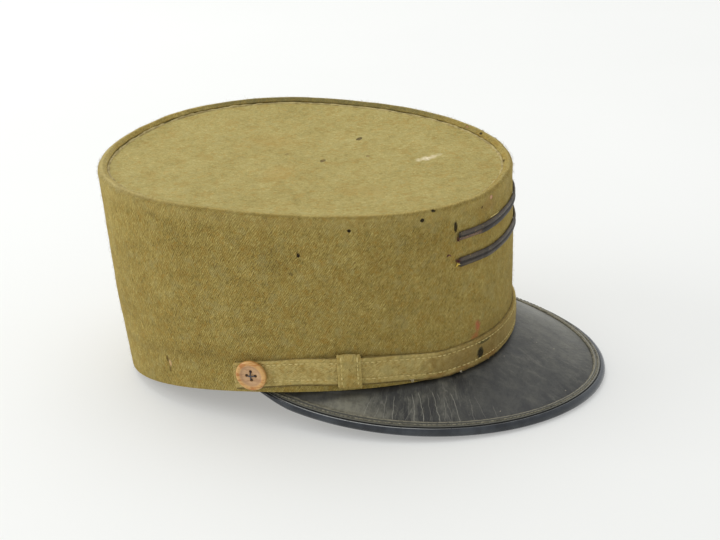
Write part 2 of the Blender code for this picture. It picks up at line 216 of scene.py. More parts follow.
def dress(name, mesh, finish, slot, replaced=()):
    """Makes a finished mesh one named piece that goes with the cap."""
    mesh.materials.clear()
    mesh.materials.append(finish)
    mesh.shade_smooth()
    piece = bpy.data.objects.new(name, mesh)
    bpy.context.scene.collection.objects.link(piece)
    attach(piece, "root")
    if replaced:
        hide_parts(*replaced)
    return piece


def wrap(name, columns, rows, place, chart, ring=False, closed=False):
    """Lays a grid over a piece: shares along it run in columns, and the rows go round its section."""
    rows = list(rows) + list(rows[:1] if closed else [])
    work = bmesh.new()
    sheet = work.loops.layers.uv.new("UVMap")
    bmesh.ops.create_grid(work, x_segments=columns, y_segments=len(rows) - 1, size=0.5)
    last = len(rows) - 1
    for face in work.faces:
        for loop in face.loops:
            row = round((loop.vert.co.y + 0.5) * last)
            loop[sheet].uv = chart(loop.vert.co.x + 0.5, rows[row], row)
    for vert in work.verts:
        row = round((vert.co.y + 0.5) * last)
        vert.co = place(vert.co.x + 0.5, rows[row])
    if ring or closed:
        bmesh.ops.remove_doubles(work, verts=work.verts, dist=0.000002)
    if closed and not ring:
        ends = [edge for edge in work.edges if edge.is_boundary]
        bmesh.ops.holes_fill(work, edges=ends, sides=0)
    bmesh.ops.recalc_face_normals(work, faces=work.faces)
    mesh = bpy.data.meshes.new(name)
    work.to_mesh(mesh)
    work.free()
    print(name, len(mesh.polygons), "faces")
    return mesh


def strands(name, paths, radius, sides=0):
    """Threads along several paths, drawn as one curve and turned into a mesh."""
    curve = bpy.data.curves.new(name + "_line", "CURVE")
    curve.dimensions = "3D"
    curve.bevel_depth = radius
    curve.bevel_resolution = sides
    curve.use_fill_caps = True
    for path in paths:
        line = curve.splines.new("POLY")
        line.points.add(len(path) - 1)
        for knot, spot in zip(line.points, path):
            spot, share = spot if isinstance(spot, tuple) else (spot, 1.0)
            knot.co = (*spot, 1)
            knot.radius = share
    holder = bpy.data.objects.new(name + "_line", curve)
    bpy.context.scene.collection.objects.link(holder)
    seen = holder.evaluated_get(bpy.context.evaluated_depsgraph_get())
    mesh = bpy.data.meshes.new_from_object(seen)
    bpy.data.objects.remove(holder)
    mesh.name = name
    print(name, len(paths), "strands,", len(mesh.polygons), "faces")
    return mesh


# %% [markdown]
# A finish is a small sum: some noise, some lines, and a few colours mixed by them. Written with
# plain operators it reads like the sum it is, so a socket is wrapped in a class whose operators
# add the Math nodes. One more method adds any other node.

# %% Helper for finishes
class Value:
    """One socket of a finish, which can be used in Python expressions."""

    def __init__(self, finish, socket):
        self.finish = finish
        self.socket = socket

    def math(self, operation, *values):
        return self.finish.node("ShaderNodeMath", {"operation": operation}, dict(enumerate(values)))

    def __add__(self, other):
        return self.math("ADD", self, other)

    def __sub__(self, other):
        return self.math("SUBTRACT", self, other)

    def __rsub__(self, other):
        return self.math("SUBTRACT", other, self)

    def __mul__(self, other):
        return self.math("MULTIPLY", self, other)

    def __truediv__(self, other):
        return self.math("DIVIDE", self, other)

    def __pow__(self, other):
        return self.math("POWER", self, other)

    def __abs__(self):
        return self.math("ABSOLUTE", self)

    __radd__ = __add__
    __rmul__ = __mul__

    def sine(self):
        return self.math("SINE", self)

    def most(self, other):
        return self.math("MAXIMUM", self, other)

    def ease(self, low, high):
        """0 below low and 1 above high, with a soft step between them."""
        settings = {"interpolation_type": "SMOOTHSTEP"}
        return self.finish.node("ShaderNodeMapRange", settings, {0: self, 1: low, 2: high})


class Finish:
    """A material whose nodes are added by expressions."""

    def __init__(self, name, **constants):
        self.material = bpy.data.materials.new(name)
        self.material.use_nodes = True
        self.nodes = self.material.node_tree.nodes
        self.links = self.material.node_tree.links
        self.shader = self.nodes["Principled BSDF"]
        for socket, value in constants.items():
            self.shader.inputs[socket.replace("_", " ")].default_value = value

    def feed(self, socket, value):
        """Links a value to a socket, or sets the socket to a plain number or colour."""
        if isinstance(value, Value):
            self.links.new(value.socket, socket)
        elif hasattr(value, "__len__") and len(value) == 3 and len(socket.default_value) == 4:
            socket.default_value = (*value, 1)
        else:
            socket.default_value = value

    def node(self, kind, settings, inputs, output=0):
        """Adds any node, gives it its settings and then its inputs, and returns one output."""
        made = self.nodes.new(kind)
        for name, value in settings.items():
            setattr(made, name, value)
        for key, value in inputs.items():
            self.feed(made.inputs[key], value)
        return Value(self, made.outputs[output])

    def sheet(self):
        """The piece's own map: metres along it, and metres across it."""
        seen = self.node("ShaderNodeUVMap", {"uv_map": "UVMap"}, {})
        along = self.node("ShaderNodeSeparateXYZ", {}, {0: seen}, 0)
        across = self.node("ShaderNodeSeparateXYZ", {}, {0: seen}, 1)
        return along, across

    def place(self):
        """Where a point lies on the cap, in metres."""
        return self.node("ShaderNodeTexCoord", {}, {}, "Object")

    def join(self, x, y, z=0.0):
        return self.node("ShaderNodeCombineXYZ", {}, {0: x, 1: y, 2: z})

    def cloud(self, where, size, detail=2.0, rough=0.5, bent=0.0):
        """Noise whose lumps are about this size, in metres, or in the units of where."""
        inputs = {"Vector": where, "Scale": 1 / size, "Detail": detail, "Roughness": rough, "Distortion": bent}
        return self.node("ShaderNodeTexNoise", {}, inputs)

    def mix(self, first, second, share):
        return self.node("ShaderNodeMix", {"data_type": "RGBA"}, {0: share, 6: first, 7: second}, 2)

    def give(self, **values):
        """Feeds the shader's own sockets."""
        for socket, value in values.items():
            self.feed(self.shader.inputs[socket.replace("_", " ")], value)

    def relief(self, height, depth):
        """Turns a height from 0 to 1 into bumps of this depth in metres."""
        inputs = {"Height": height, "Distance": depth, "Strength": 1.0}
        self.give(Normal=self.node("ShaderNodeBump", {}, inputs, "Normal"))


def tint(red, green, blue):
    """A colour given as it looks on a screen, from 0 to 255, for Blender's own scale."""
    def linear(part):
        return ((part / 255 + 0.055) / 1.055) ** 2.4 if part > 10 else part / 3295
    return linear(red), linear(green), linear(blue)


# %% [markdown]
# The cloth is a fulled wool twill. Its diagonal ribs still show through the felted nap, and a
# close look finds flecks of ochre, olive and straw, because the wool was dyed before it was spun.
# The same recipe serves the wall, the top and the strap, with other colours and another nap.

# %% Wool finish
TWILL_PITCH = 0.00085
TWILL_SLOPE = math.radians(124)


def wool(name, dark, middle, light, ribs, flecks, direction=TWILL_SLOPE, marks=(), stains_light_and_shade=(), bands=()):
    """Felted wool in three shades, with twill ribs, flecks, loose fibres, holes, stains, and bands and patches
    of painted shade and light.
    """
    finish = Finish(name, Roughness=0.95, Sheen_Weight=0.45, Sheen_Roughness=0.45, Sheen_Tint=(*light, 1))
    finish.give(Specular_IOR_Level=0.15)
    along, across = finish.sheet()
    place = finish.place()
    stretch = along * math.cos(direction) + across * math.sin(direction)
    beside = across * math.cos(direction) - along * math.sin(direction)
    warp = finish.cloud(place, 0.0030, 3.0)
    rib = (beside * (FULL_TURN / TWILL_PITCH) + warp * 16.0).sine() * 0.5 + 0.5
    hair = finish.cloud(finish.join(stretch * 0.18, beside), 0.00060, 4.0, 0.7)
    cross_hair = finish.cloud(finish.join(along, across * 0.3), 0.0006, 3.0, 0.6, 0.6)
    fleck = finish.cloud(place, 0.0011, 4.0, 0.7)
    blot = finish.cloud(place, 0.0036, 3.0, 0.6)
    patch = finish.cloud(place, 0.014, 3.0, 0.55)
    broad = finish.cloud(place, 0.045, 2.0)
    shade = (fleck - 0.5) * flecks * 0.7 + (blot - 0.5) * flecks * 0.3
    shade = shade + (patch - 0.5) * 0.4 + (broad - 0.5) * 0.35
    shade = shade + (hair - 0.5) * flecks * 0.9 + (rib - 0.5) * ribs + 0.5
    color = finish.mix(dark, middle, shade.ease(0.02, 0.52))
    color = finish.mix(color, light, shade.ease(0.48, 1.0))
    ochre = finish.cloud(place, 0.0024, 3.0, 0.7, 0.4)
    color = finish.mix(color, tint(160, 122, 46), ochre.ease(0.50, 0.70) * 0.48)
    olive = finish.cloud(place, 0.0031, 3.0, 0.7, 0.3)
    color = finish.mix(color, tint(118, 114, 64), olive.ease(0.52, 0.68) * 0.30)
    worn = finish.cloud(place, 0.0075, 3.0, 0.6)
    color = finish.mix(color, tint(158, 148, 98), worn.ease(0.54, 0.66) * 0.30)
    color = finish.mix(color, tint(142, 112, 46), (1 - worn.ease(0.34, 0.46)) * 0.34)
    curl = 1 - abs(finish.cloud(place, 0.0026, 2.0, 0.5, 1.2) - 0.5).ease(0.004, 0.030)
    loose_fibre = (cross_hair.ease(0.58, 0.70) * 0.8).most(curl * 0.55)
    color = finish.mix(color, tint(192, 176, 120), loose_fibre * 0.36)
    height = rib * ribs * 1.6 + hair * 0.55 + fleck * 0.55 + blot * 0.25
    # Bands and patches from the tables: on the wall and the strap, some are painted shade and painted light.
    for low, rising, falling, high, ink, share in bands:
        band = across.ease(low, rising) * (1 - across.ease(falling, high))
        color = finish.mix(color, ink, band * share)
    for u, v, wide, high, depth, ink in stains_light_and_shade:
        away = (((along - u) / wide) ** 2 + ((across - v) / high) ** 2) ** 0.5 + (blot - 0.5) * 1.2
        color = finish.mix(color, ink, (1 - away.ease(0.35, 1.25)) * fleck.ease(0.25, 0.55) * depth)
    for u, v, wide, high, depth, ink in marks:
        ragged = (hair - 0.5) * 0.6 + (fleck - 0.5) * 0.7
        away = (((along - u) / wide) ** 2 + ((across - v) / high) ** 2) ** 0.5 + ragged
        hole = 1 - away.ease(0.72, 1.15)
        color = finish.mix(color, ink, hole * depth)
        height = height - hole * 2.5 * depth
    finish.give(Base_Color=color)
    finish.relief(height, 0.0003)
    return finish.material


# %% [markdown]
# The wall is one piece of cloth: up from the hem, over the rim in a soft roll and a few
# millimetres in towards the top. Small uneven swells keep it from looking turned on a lathe. The
# moth holes and stains are drawn by the finish, at their places on the cloth, and so are bands and
# patches of painted shade and painted light on the rim and above the strap.

# %% Wall of the cap
WALL_COLUMNS = 600
WALL_CHART_HEIGHT = 0.092
HOLE_INK = tint(38, 30, 16)

# Moth holes and dark specks of the wall.
# Columns: turn in degrees, share of the height, half width and half height in mm, depth, colour
WALL_HOLES = (
    (256.6, 0.785, 0.85, 1.15, 1.0, HOLE_INK),
    (258.8, 0.680, 0.9, 0.8, 0.45, tint(84, 66, 34)),
    (243.0, 0.925, 0.95, 0.8, 1.0, HOLE_INK),
    (221.4, 0.950, 1.15, 1.0, 1.0, HOLE_INK),
    (217.4, 0.997, 1.2, 1.0, 1.0, HOLE_INK),
    (209.0, 0.870, 1.05, 2.9, 1.0, HOLE_INK),
    (196.4, 0.930, 0.7, 0.8, 0.7, tint(70, 48, 34)),
    (297.6, 0.150, 0.7, 1.7, 0.8, tint(84, 64, 32)),
    (297.2, 0.092, 0.6, 1.4, 0.7, tint(84, 64, 32)),
    (296.7, 0.128, 1.0, 2.0, 0.8, tint(206, 170, 122)),
    (127.5, 1.045, 1.0, 0.8, 0.8, tint(176, 128, 92)),
    (135.2, 1.045, 1.1, 0.9, 1.0, HOLE_INK),
    (162.7, 1.060, 1.4, 0.8, 0.9, tint(70, 50, 26)),
    (190.9, 0.960, 1.3, 1.2, 0.9, tint(208, 160, 130)),
)

# Stains of the wall, with painted shade on the far rim and painted light on the near rim at the rear, in the
# same columns.
WALL_STAINS_LIGHT_AND_SHADE = (
    (199.4, 0.230, 2.2, 4.4, 0.78, tint(178, 84, 64)),
    (201.0, 0.175, 3.0, 3.0, 0.6, tint(176, 96, 62)),
    (192.0, 0.930, 6.5, 4.5, 0.35, tint(150, 112, 62)),
    (203.0, 0.640, 9.0, 5.0, 0.25, tint(146, 108, 60)),
    # painted shade on the inner slope of the far rim
    (80.0, 1.046, 90.0, 3.6, 0.85, tint(98, 92, 58)),
    # painted light on the rim at the rear of the near side, at 322 degrees and again at -38 across the start
    # of the map
    (322.0, 1.030, 62.0, 4.6, 0.30, tint(200, 188, 138)),
    (-38.0, 1.030, 62.0, 4.6, 0.30, tint(200, 188, 138)),
)


# Bands of tone round the wall: a paler band below the rim, painted shade on the fold over it, a
# painted highlight on the crest of the roll, and a painted shadow of the strap above its upper edge.
# Columns: start, full from, full to, end as shares of the height, colour, strength
WALL_BANDS = [
    [share * WALL_CHART_HEIGHT for share in band[:4]] + list(band[4:])
    for band in (
        (0.90, 0.95, 0.976, 0.990, tint(182, 164, 104), 0.18),
        # painted shade on the fold of the rim
        (0.986, 0.996, 1.006, 1.015, tint(116, 100, 52), 0.30),
        # painted highlight on the crest of the roll
        (1.008, 1.016, 1.024, 1.034, tint(190, 174, 116), 0.24),
        # painted shadow of the strap on the wall above it
        (0.160, 0.190, 0.195, 0.240, tint(112, 94, 48), 0.22),
    )
]


def on_wall(table):
    """Turns rows of turn, share and millimetres into metres on the wall's own map."""
    rows = []
    for turn, share, wide, high, depth, ink in table:
        spot = (way_at(math.radians(turn)), share * WALL_CHART_HEIGHT)
        rows.append((*spot, wide * MM, high * MM, depth, ink))
    return rows


def wall_rows():
    """The wall's section, up the outside, over the rim, in to the top and down the inside."""
    rows = []
    for angle in spread(0, math.pi / 2, 3):
        rows.append((0, HEM_ROUND * (1 - math.sin(angle)), -HEM_ROUND * (1 - math.cos(angle))))
    rows += [(share, 0, 0) for share in spread(0.015, 0.97, 92)]
    for angle in spread(0, RIM_ROLL_SWEEP, 9):
        rows.append((1, RIM_ROLL * (1 - math.cos(angle)), RIM_ROLL * (1 - math.sin(angle))))
    edge_radius = RIM_EDGE / 2
    edge_middle = TOP_DROP - CLEARANCE - edge_radius
    for angle in spread(-math.pi / 2, math.pi / 2, 4):
        inset = RIM_TURN_IN - edge_radius + edge_radius * math.cos(angle)
        rows.append((1, inset, edge_middle + edge_radius * math.sin(angle)))
    rows.append((1, WALL, TOP_DROP - CLEARANCE))
    rows += [(share, WALL, 0) for share in spread(0.97, 0.015, 24)]
    rows.append((0, WALL, -HEM_ROUND))
    rows.append((0, WALL - HEM_ROUND, 0))
    return rows


def wall_swell(turn, height):
    """How far the cloth of the wall swells out at a place, over its even shape."""
    spot = Vector((math.sin(turn) * HEM_WIDTH / 2, math.cos(turn) * HEM_LENGTH / 2, height))
    broad = lumps(spot, 0.034, 0.0007)
    small = lumps(spot, 0.010, 0.00022)
    nap = lumps(spot, 0.0026, 0.00010)
    near_strap = smooth((height - 0.018) / 0.02)
    return (broad + small) * near_strap + nap


def on_cloth(turn, down):
    """How far the cloth swells out at this far below the rim, for what is sewn on there."""
    return wall_swell(turn, WALL_CHART_HEIGHT * (1 - down / (rim_point(turn).z - hem_point(turn).z)))


def wall_spot(share, row):
    turn = FULL_TURN * share
    height, inset, drop = row
    at = height * WALL_CHART_HEIGHT - drop
    wave = Vector((math.sin(turn), math.cos(turn), 0)) * HEM_LENGTH / 2
    crest = smooth((height - 0.9) * 10) * lumps(wave + Vector((0, 0, 0.5)), 0.011, 0.00022)
    return crown_point(turn, height, inset - wall_swell(turn, at), drop - crest)


def wall_chart(share, row, index):
    height, inset, drop = row
    fold = drop if height == 1 and inset > RIM_ROLL else -drop
    return way_at(FULL_TURN * share), height * WALL_CHART_HEIGHT + fold + (1 if inset == WALL else inset)


wall_wool = wool(
    "wall_wool",
    tint(104, 87, 42),
    tint(150, 130, 66),
    tint(188, 169, 102),
    ribs=0.34,
    flecks=1.70,
    marks=on_wall(WALL_HOLES),
    stains_light_and_shade=on_wall(WALL_STAINS_LIGHT_AND_SHADE),
    bands=WALL_BANDS,
)
wall_mesh = wrap("wall_cloth", WALL_COLUMNS, wall_rows(), wall_spot, wall_chart, ring=True, closed=True)
dress("wall_cloth", wall_mesh, wall_wool, "wall_wool", ["crown_wall"])

# %% [markdown]
# The top is a flat oval of the same wool with a smoother face, stitched in under the rim. Its
# colours are paler and greyer than the wall's, as painted sheen of the same wool seen at a glancing
# angle. It is made as a thin sheet with rings closer together towards its edge, and Solidify gives
# it its thickness downwards.

# %% Flat top
TOP_MIDDLE = HEM_MIDDLE + RIM_SET_BACK


def top_spot(share, row):
    turn = FULL_TURN * share
    edge = crown_point(turn, 1, WALL + CLEARANCE, TOP_DROP)
    x = edge.x * row
    y = (edge.y - TOP_MIDDLE) * row
    edge_level = rim_level(turn, edge.y - TOP_MIDDLE, 1) - TOP_DROP
    height = rim_level(turn, y, row) - TOP_DROP + (edge.z - edge_level) * row
    spot = Vector((x, TOP_MIDDLE + y, height))
    loose = 1 - smooth((row - 0.86) / 0.1)
    spot.z += (lumps(spot, 0.038, 0.0006) + lumps(spot, 0.011, 0.00015)) * loose - 0.0002 * loose
    spot.z += lumps(spot, 0.0028, 0.00005)
    return spot


def top_chart(share, row, index):
    edge = crown_point(FULL_TURN * share, 1, WALL + CLEARANCE, TOP_DROP)
    return edge.x * row, (edge.y - TOP_MIDDLE) * row


# Holes and worn places of the top.
# Columns: x and y in mm, half width and half height in mm, depth, colour
TOP_HOLES = (
    (36.7, 9.2, 2.5, 1.4, 0.9, tint(66, 50, 28)),
    (-0.7, 15.0, 2.0, 1.2, 0.8, tint(88, 66, 38)),
    (3.5, 36.7, 1.2, 0.9, 0.5, tint(112, 86, 48)),
    (13.0, -4.4, 1.2, 0.9, 0.6, tint(116, 80, 48)),
)

# Paler and browner places of the top, in the same columns.
TOP_STAINS = (
    (16.3, -31.4, 2.8, 2.2, 0.75, tint(208, 196, 158)),
    (19.4, -34.2, 3.4, 2.6, 1.00, tint(222, 208, 176)),
    (22.8, -36.4, 3.0, 2.2, 0.85, tint(214, 200, 164)),
    (26.4, -38.6, 2.6, 1.8, 0.60, tint(200, 188, 146)),
    (-22.0, 30.0, 14.0, 9.0, 0.30, tint(168, 132, 66)),
    (20.0, 52.0, 12.0, 16.0, 0.28, tint(166, 134, 70)),
    (-34.0, -20.0, 10.0, 14.0, 0.25, tint(160, 130, 66)),
)


def on_top(table):
    """Turns rows in millimetres into metres on the map of the top."""
    return [
        (x * MM, y * MM - TOP_MIDDLE, wide * MM, high * MM, depth, ink)
        for x, y, wide, high, depth, ink in table
    ]


# Paler, greyer colours than the wall's: painted sheen on the same wool.
top_wool = wool(
    "top_wool",
    tint(114, 101, 50),
    tint(157, 143, 85),
    tint(188, 176, 120),
    ribs=0.08,
    flecks=1.5,
    direction=math.radians(-68),
    marks=on_top(TOP_HOLES),
    stains_light_and_shade=on_top(TOP_STAINS),
)
TOP_ROWS = spread(0, 0.84, 54) + spread(0.855, 1, 14)
top_mesh = wrap("top_cloth", 300, TOP_ROWS, top_spot, top_chart, ring=True)
if sum(face.normal.z for face in top_mesh.polygons) < 0:
    top_mesh.flip_normals()
top = dress("top_cloth", top_mesh, top_wool, "top_wool", ["crown_top"])
shell = top.modifiers.new("Cloth", "SOLIDIFY")
shell.thickness = TOP_THICKNESS
shell.offset = -1

# %% [markdown]
# Where the rim's cloth is sewn down to the top, its turned edge makes a soft line in the corner
# between them. It is a single strand that wanders a little, thick enough to fill the corner, and
# the shadow beside it draws the seam.

# %% Seam round the top
SEAM_RADIUS = 0.0011
SEAM_INSET = 0.0005

seam_finish = Finish("seam_thread", Roughness=0.9)
seam_tone = seam_finish.cloud(seam_finish.place(), 0.004, 3.0)
seam_color = seam_finish.mix(tint(142, 126, 78), tint(172, 156, 102), seam_tone.ease(0.40, 0.6))
seam_finish.give(Base_Color=seam_color)
seam_path = []
for turn in spread(0, FULL_TURN, 360)[:-1]:
    inset = RIM_TURN_IN + SEAM_INSET
    wander = Vector((math.sin(turn), math.cos(turn), 0)) * 0.1
    spot = crown_point(turn, 1, inset + lumps(wander, 0.006, 0.00025), TOP_DROP + 0.0005)
    seam_path.append((spot, 1 + 0.5 * noise.noise(wander / 0.004)))
seam_path.append(seam_path[0])
seam_mesh = strands("rim_seam", [seam_path], SEAM_RADIUS, 1)
dress("rim_seam", seam_mesh, seam_finish.material, "wall_wool")

# %% [markdown]
# The peak is a plate of waxed leather, cut as a crescent and bent down at its sides. The plate,
# its edging and their stitches all have to follow one edge, so that edge is written as a curve
# first, from the same sizes as the solid. Frames along it then say where inwards and up are.

# %% Shape of the peak
PEAK_FLARE = 0.0027
PEAK_REACH = 0.0482
PEAK_WIDEST = 0.0422
PEAK_SQUARENESS = 1.954
PEAK_WRAP = math.radians(23.5)
PEAK_FALL = 1.967
PEAK_TUCK = 0.0120
PEAK_TUCK_POWER = 7
PEAK_THICKNESS = 0.0022
BINDING_LEATHER = 0.0012
BINDING_LAP = 0.0038
BINDING_RADIUS = PEAK_THICKNESS / 2 + CLEARANCE + BINDING_LEATHER
PEAK_WIDTH = HEM_WIDTH + PEAK_FLARE
PEAK_LENGTH = HEM_LENGTH / 2 + PEAK_REACH - PEAK_WIDEST
PEAK_COLUMNS = 360


def hem_turn_at(y):
    """The turn on the wearer's left at which the hem's edge has this y."""
    share = max(-1.0, min(1.0, (y - HEM_MIDDLE) / (HEM_LENGTH / 2)))
    return math.acos(math.copysign(abs(share) ** (HEM_SQUARENESS / 2), share))


def peak_edge_y(sweep):
    return HEM_MIDDLE - PEAK_WIDEST - PEAK_LENGTH * curve_share(math.cos(sweep), PEAK_SQUARENESS)


PEAK_CORNER_Y = peak_edge_y(math.pi / 2 + PEAK_WRAP)
PEAK_CORNER = HALF_TURN - hem_turn_at(PEAK_CORNER_Y)
PEAK_CORNER_Z = hem_point(HALF_TURN + PEAK_CORNER).z - CLEARANCE - BINDING_RADIUS


def peak_edge(place):
    """The middle of the rolled edging, at a place from -1 at one corner to 1 at the other."""
    sweep = place * (math.pi / 2 + PEAK_WRAP)
    x = -PEAK_WIDTH / 2 * curve_share(math.sin(sweep), PEAK_SQUARENESS)
    y = peak_edge_y(sweep)
    way = (y - peak_edge_y(0)) / (PEAK_CORNER_Y - peak_edge_y(0))
    return Vector((x, y, BINDING_RADIUS + (PEAK_CORNER_Z - BINDING_RADIUS) * way ** PEAK_FALL))


def peak_root(place, inset):
    """The plate's upper face under the hem, which tucks in towards the corners."""
    turn = HALF_TURN + place * PEAK_CORNER
    point = hem_point(turn, PEAK_TUCK * abs(place) ** PEAK_TUCK_POWER + inset)
    point.z = hem_point(turn).z - CLEARANCE
    return point


def peak_frame(place):
    """The edging's middle with its directions inwards along the plate and up from it."""
    step = 0.5 / PEAK_COLUMNS
    along = (peak_edge(min(1, place + step)) - peak_edge(max(-1, place - step))).normalized()
    middle = peak_edge(place)
    up = Vector((0, 0, 1))
    for _ in range(4):
        inwards = peak_root(place, 0) - up * PEAK_THICKNESS / 2 - middle
        inwards = (inwards - along * inwards.dot(along)).normalized()
        up = along.cross(inwards)
        up = up if up.z > 0 else -up
    return middle, inwards, up


def peak_place(share):
    """Places along the peak's edge, closer together towards the corners, where it twists."""
    place = 2 * share - 1
    return (place + math.sin(place * math.pi / 2)) / 2


PEAK_FRAMES = [peak_frame(peak_place(step / PEAK_COLUMNS)) for step in range(PEAK_COLUMNS + 1)]
PEAK_WAYS = [0.0]
for before, after in zip(PEAK_FRAMES, PEAK_FRAMES[1:]):
    PEAK_WAYS.append(PEAK_WAYS[-1] + (after[0] - before[0]).length)
PEAK_HALF_WAY = PEAK_WAYS[-1] / 2
print("the peak's edge is", round(PEAK_WAYS[-1], 3), "m long")

# %% [markdown]
# The plate's leather is grey where dust lies in its wax and dark where it is handled, with painted
# sheen that greys its far side and streaks it, and a painted shadow under the hem. It cracks where
# the peak was bent at the sides. Each crack is a line from a short table that a noise makes waver,
# because a crack follows the grain. The edging is smoother and rubbed pale along its seam, with a
# painted highlight along its fold, painted light on its far half and painted shade in its grooves.

# %% Leather finishes
CRACK_CENTRE = -0.027
CRACK_SET_BACK = 0.050

# Cracks across the plate, from near the hem out to the edging.
# Columns: mm along the edge and mm in from it at the top, the same at the bottom, strength
CRACKS = (
    (100.5, 24.3, 113.5, 0.5, 0.80),
    (95.8, 26.0, 109.0, 0.5, 1.00),
    (87.3, 27.0, 100.5, 0.5, 0.85),
    (85.3, 26.0, 88.8, 19.0, 0.55),
    (85.5, 19.5, 98.0, 1.0, 0.50),
    (92.5, 9.0, 95.5, 0.5, 0.40),
    (77.9, 25.0, 91.0, 0.5, 0.80),
    (72.5, 28.0, 79.5, 18.0, 0.45),
    (72.0, 19.0, 83.5, 0.5, 0.42),
    (127.4, 17.5, 139.0, 1.0, 0.60),
    (126.5, 10.0, 133.5, 1.0, 0.42),
    (112.4, 21.0, 124.5, 0.5, 0.80),
    (117.2, 20.5, 129.0, 1.0, 0.50),
    (107.0, 13.0, 118.0, 0.5, 0.40),
    (100.8, 7.0, 104.0, 0.5, 0.35),
    (64.0, 12.0, 70.5, 1.0, 0.28),
    (82.4, 24.0, 94.8, 0.5, 0.38),
    (91.4, 25.0, 104.9, 1.0, 0.46),
    (104.2, 22.0, 116.4, 1.0, 0.36),
    (68.0, 21.0, 76.5, 1.0, 0.32),
)


def crack_lines(finish, along, across, place):
    """How much of a point is crack, from the table, on both sides of the peak alike."""
    waver = (finish.cloud(place, 0.010, 2.0) - 0.5) * 0.0034
    waver = waver + (finish.cloud(place, 0.0018, 2.0) - 0.5) * 0.0008
    side = abs(along) + waver
    cracks = None
    for top, top_in, foot, foot_in, strength in CRACKS:
        slope = (top - foot) / (top_in - foot_in)
        away = abs(side - across * slope - (foot - foot_in * slope) * MM)
        ends = across.ease((foot_in - 1) * MM, (foot_in + 1) * MM)
        ends = ends * (1 - across.ease((top_in - 3) * MM, top_in * MM))
        line = (1 - away.ease(0.00004, 0.00030)) * ends * strength
        cracks = line if cracks is None else cracks.most(line)
    return cracks


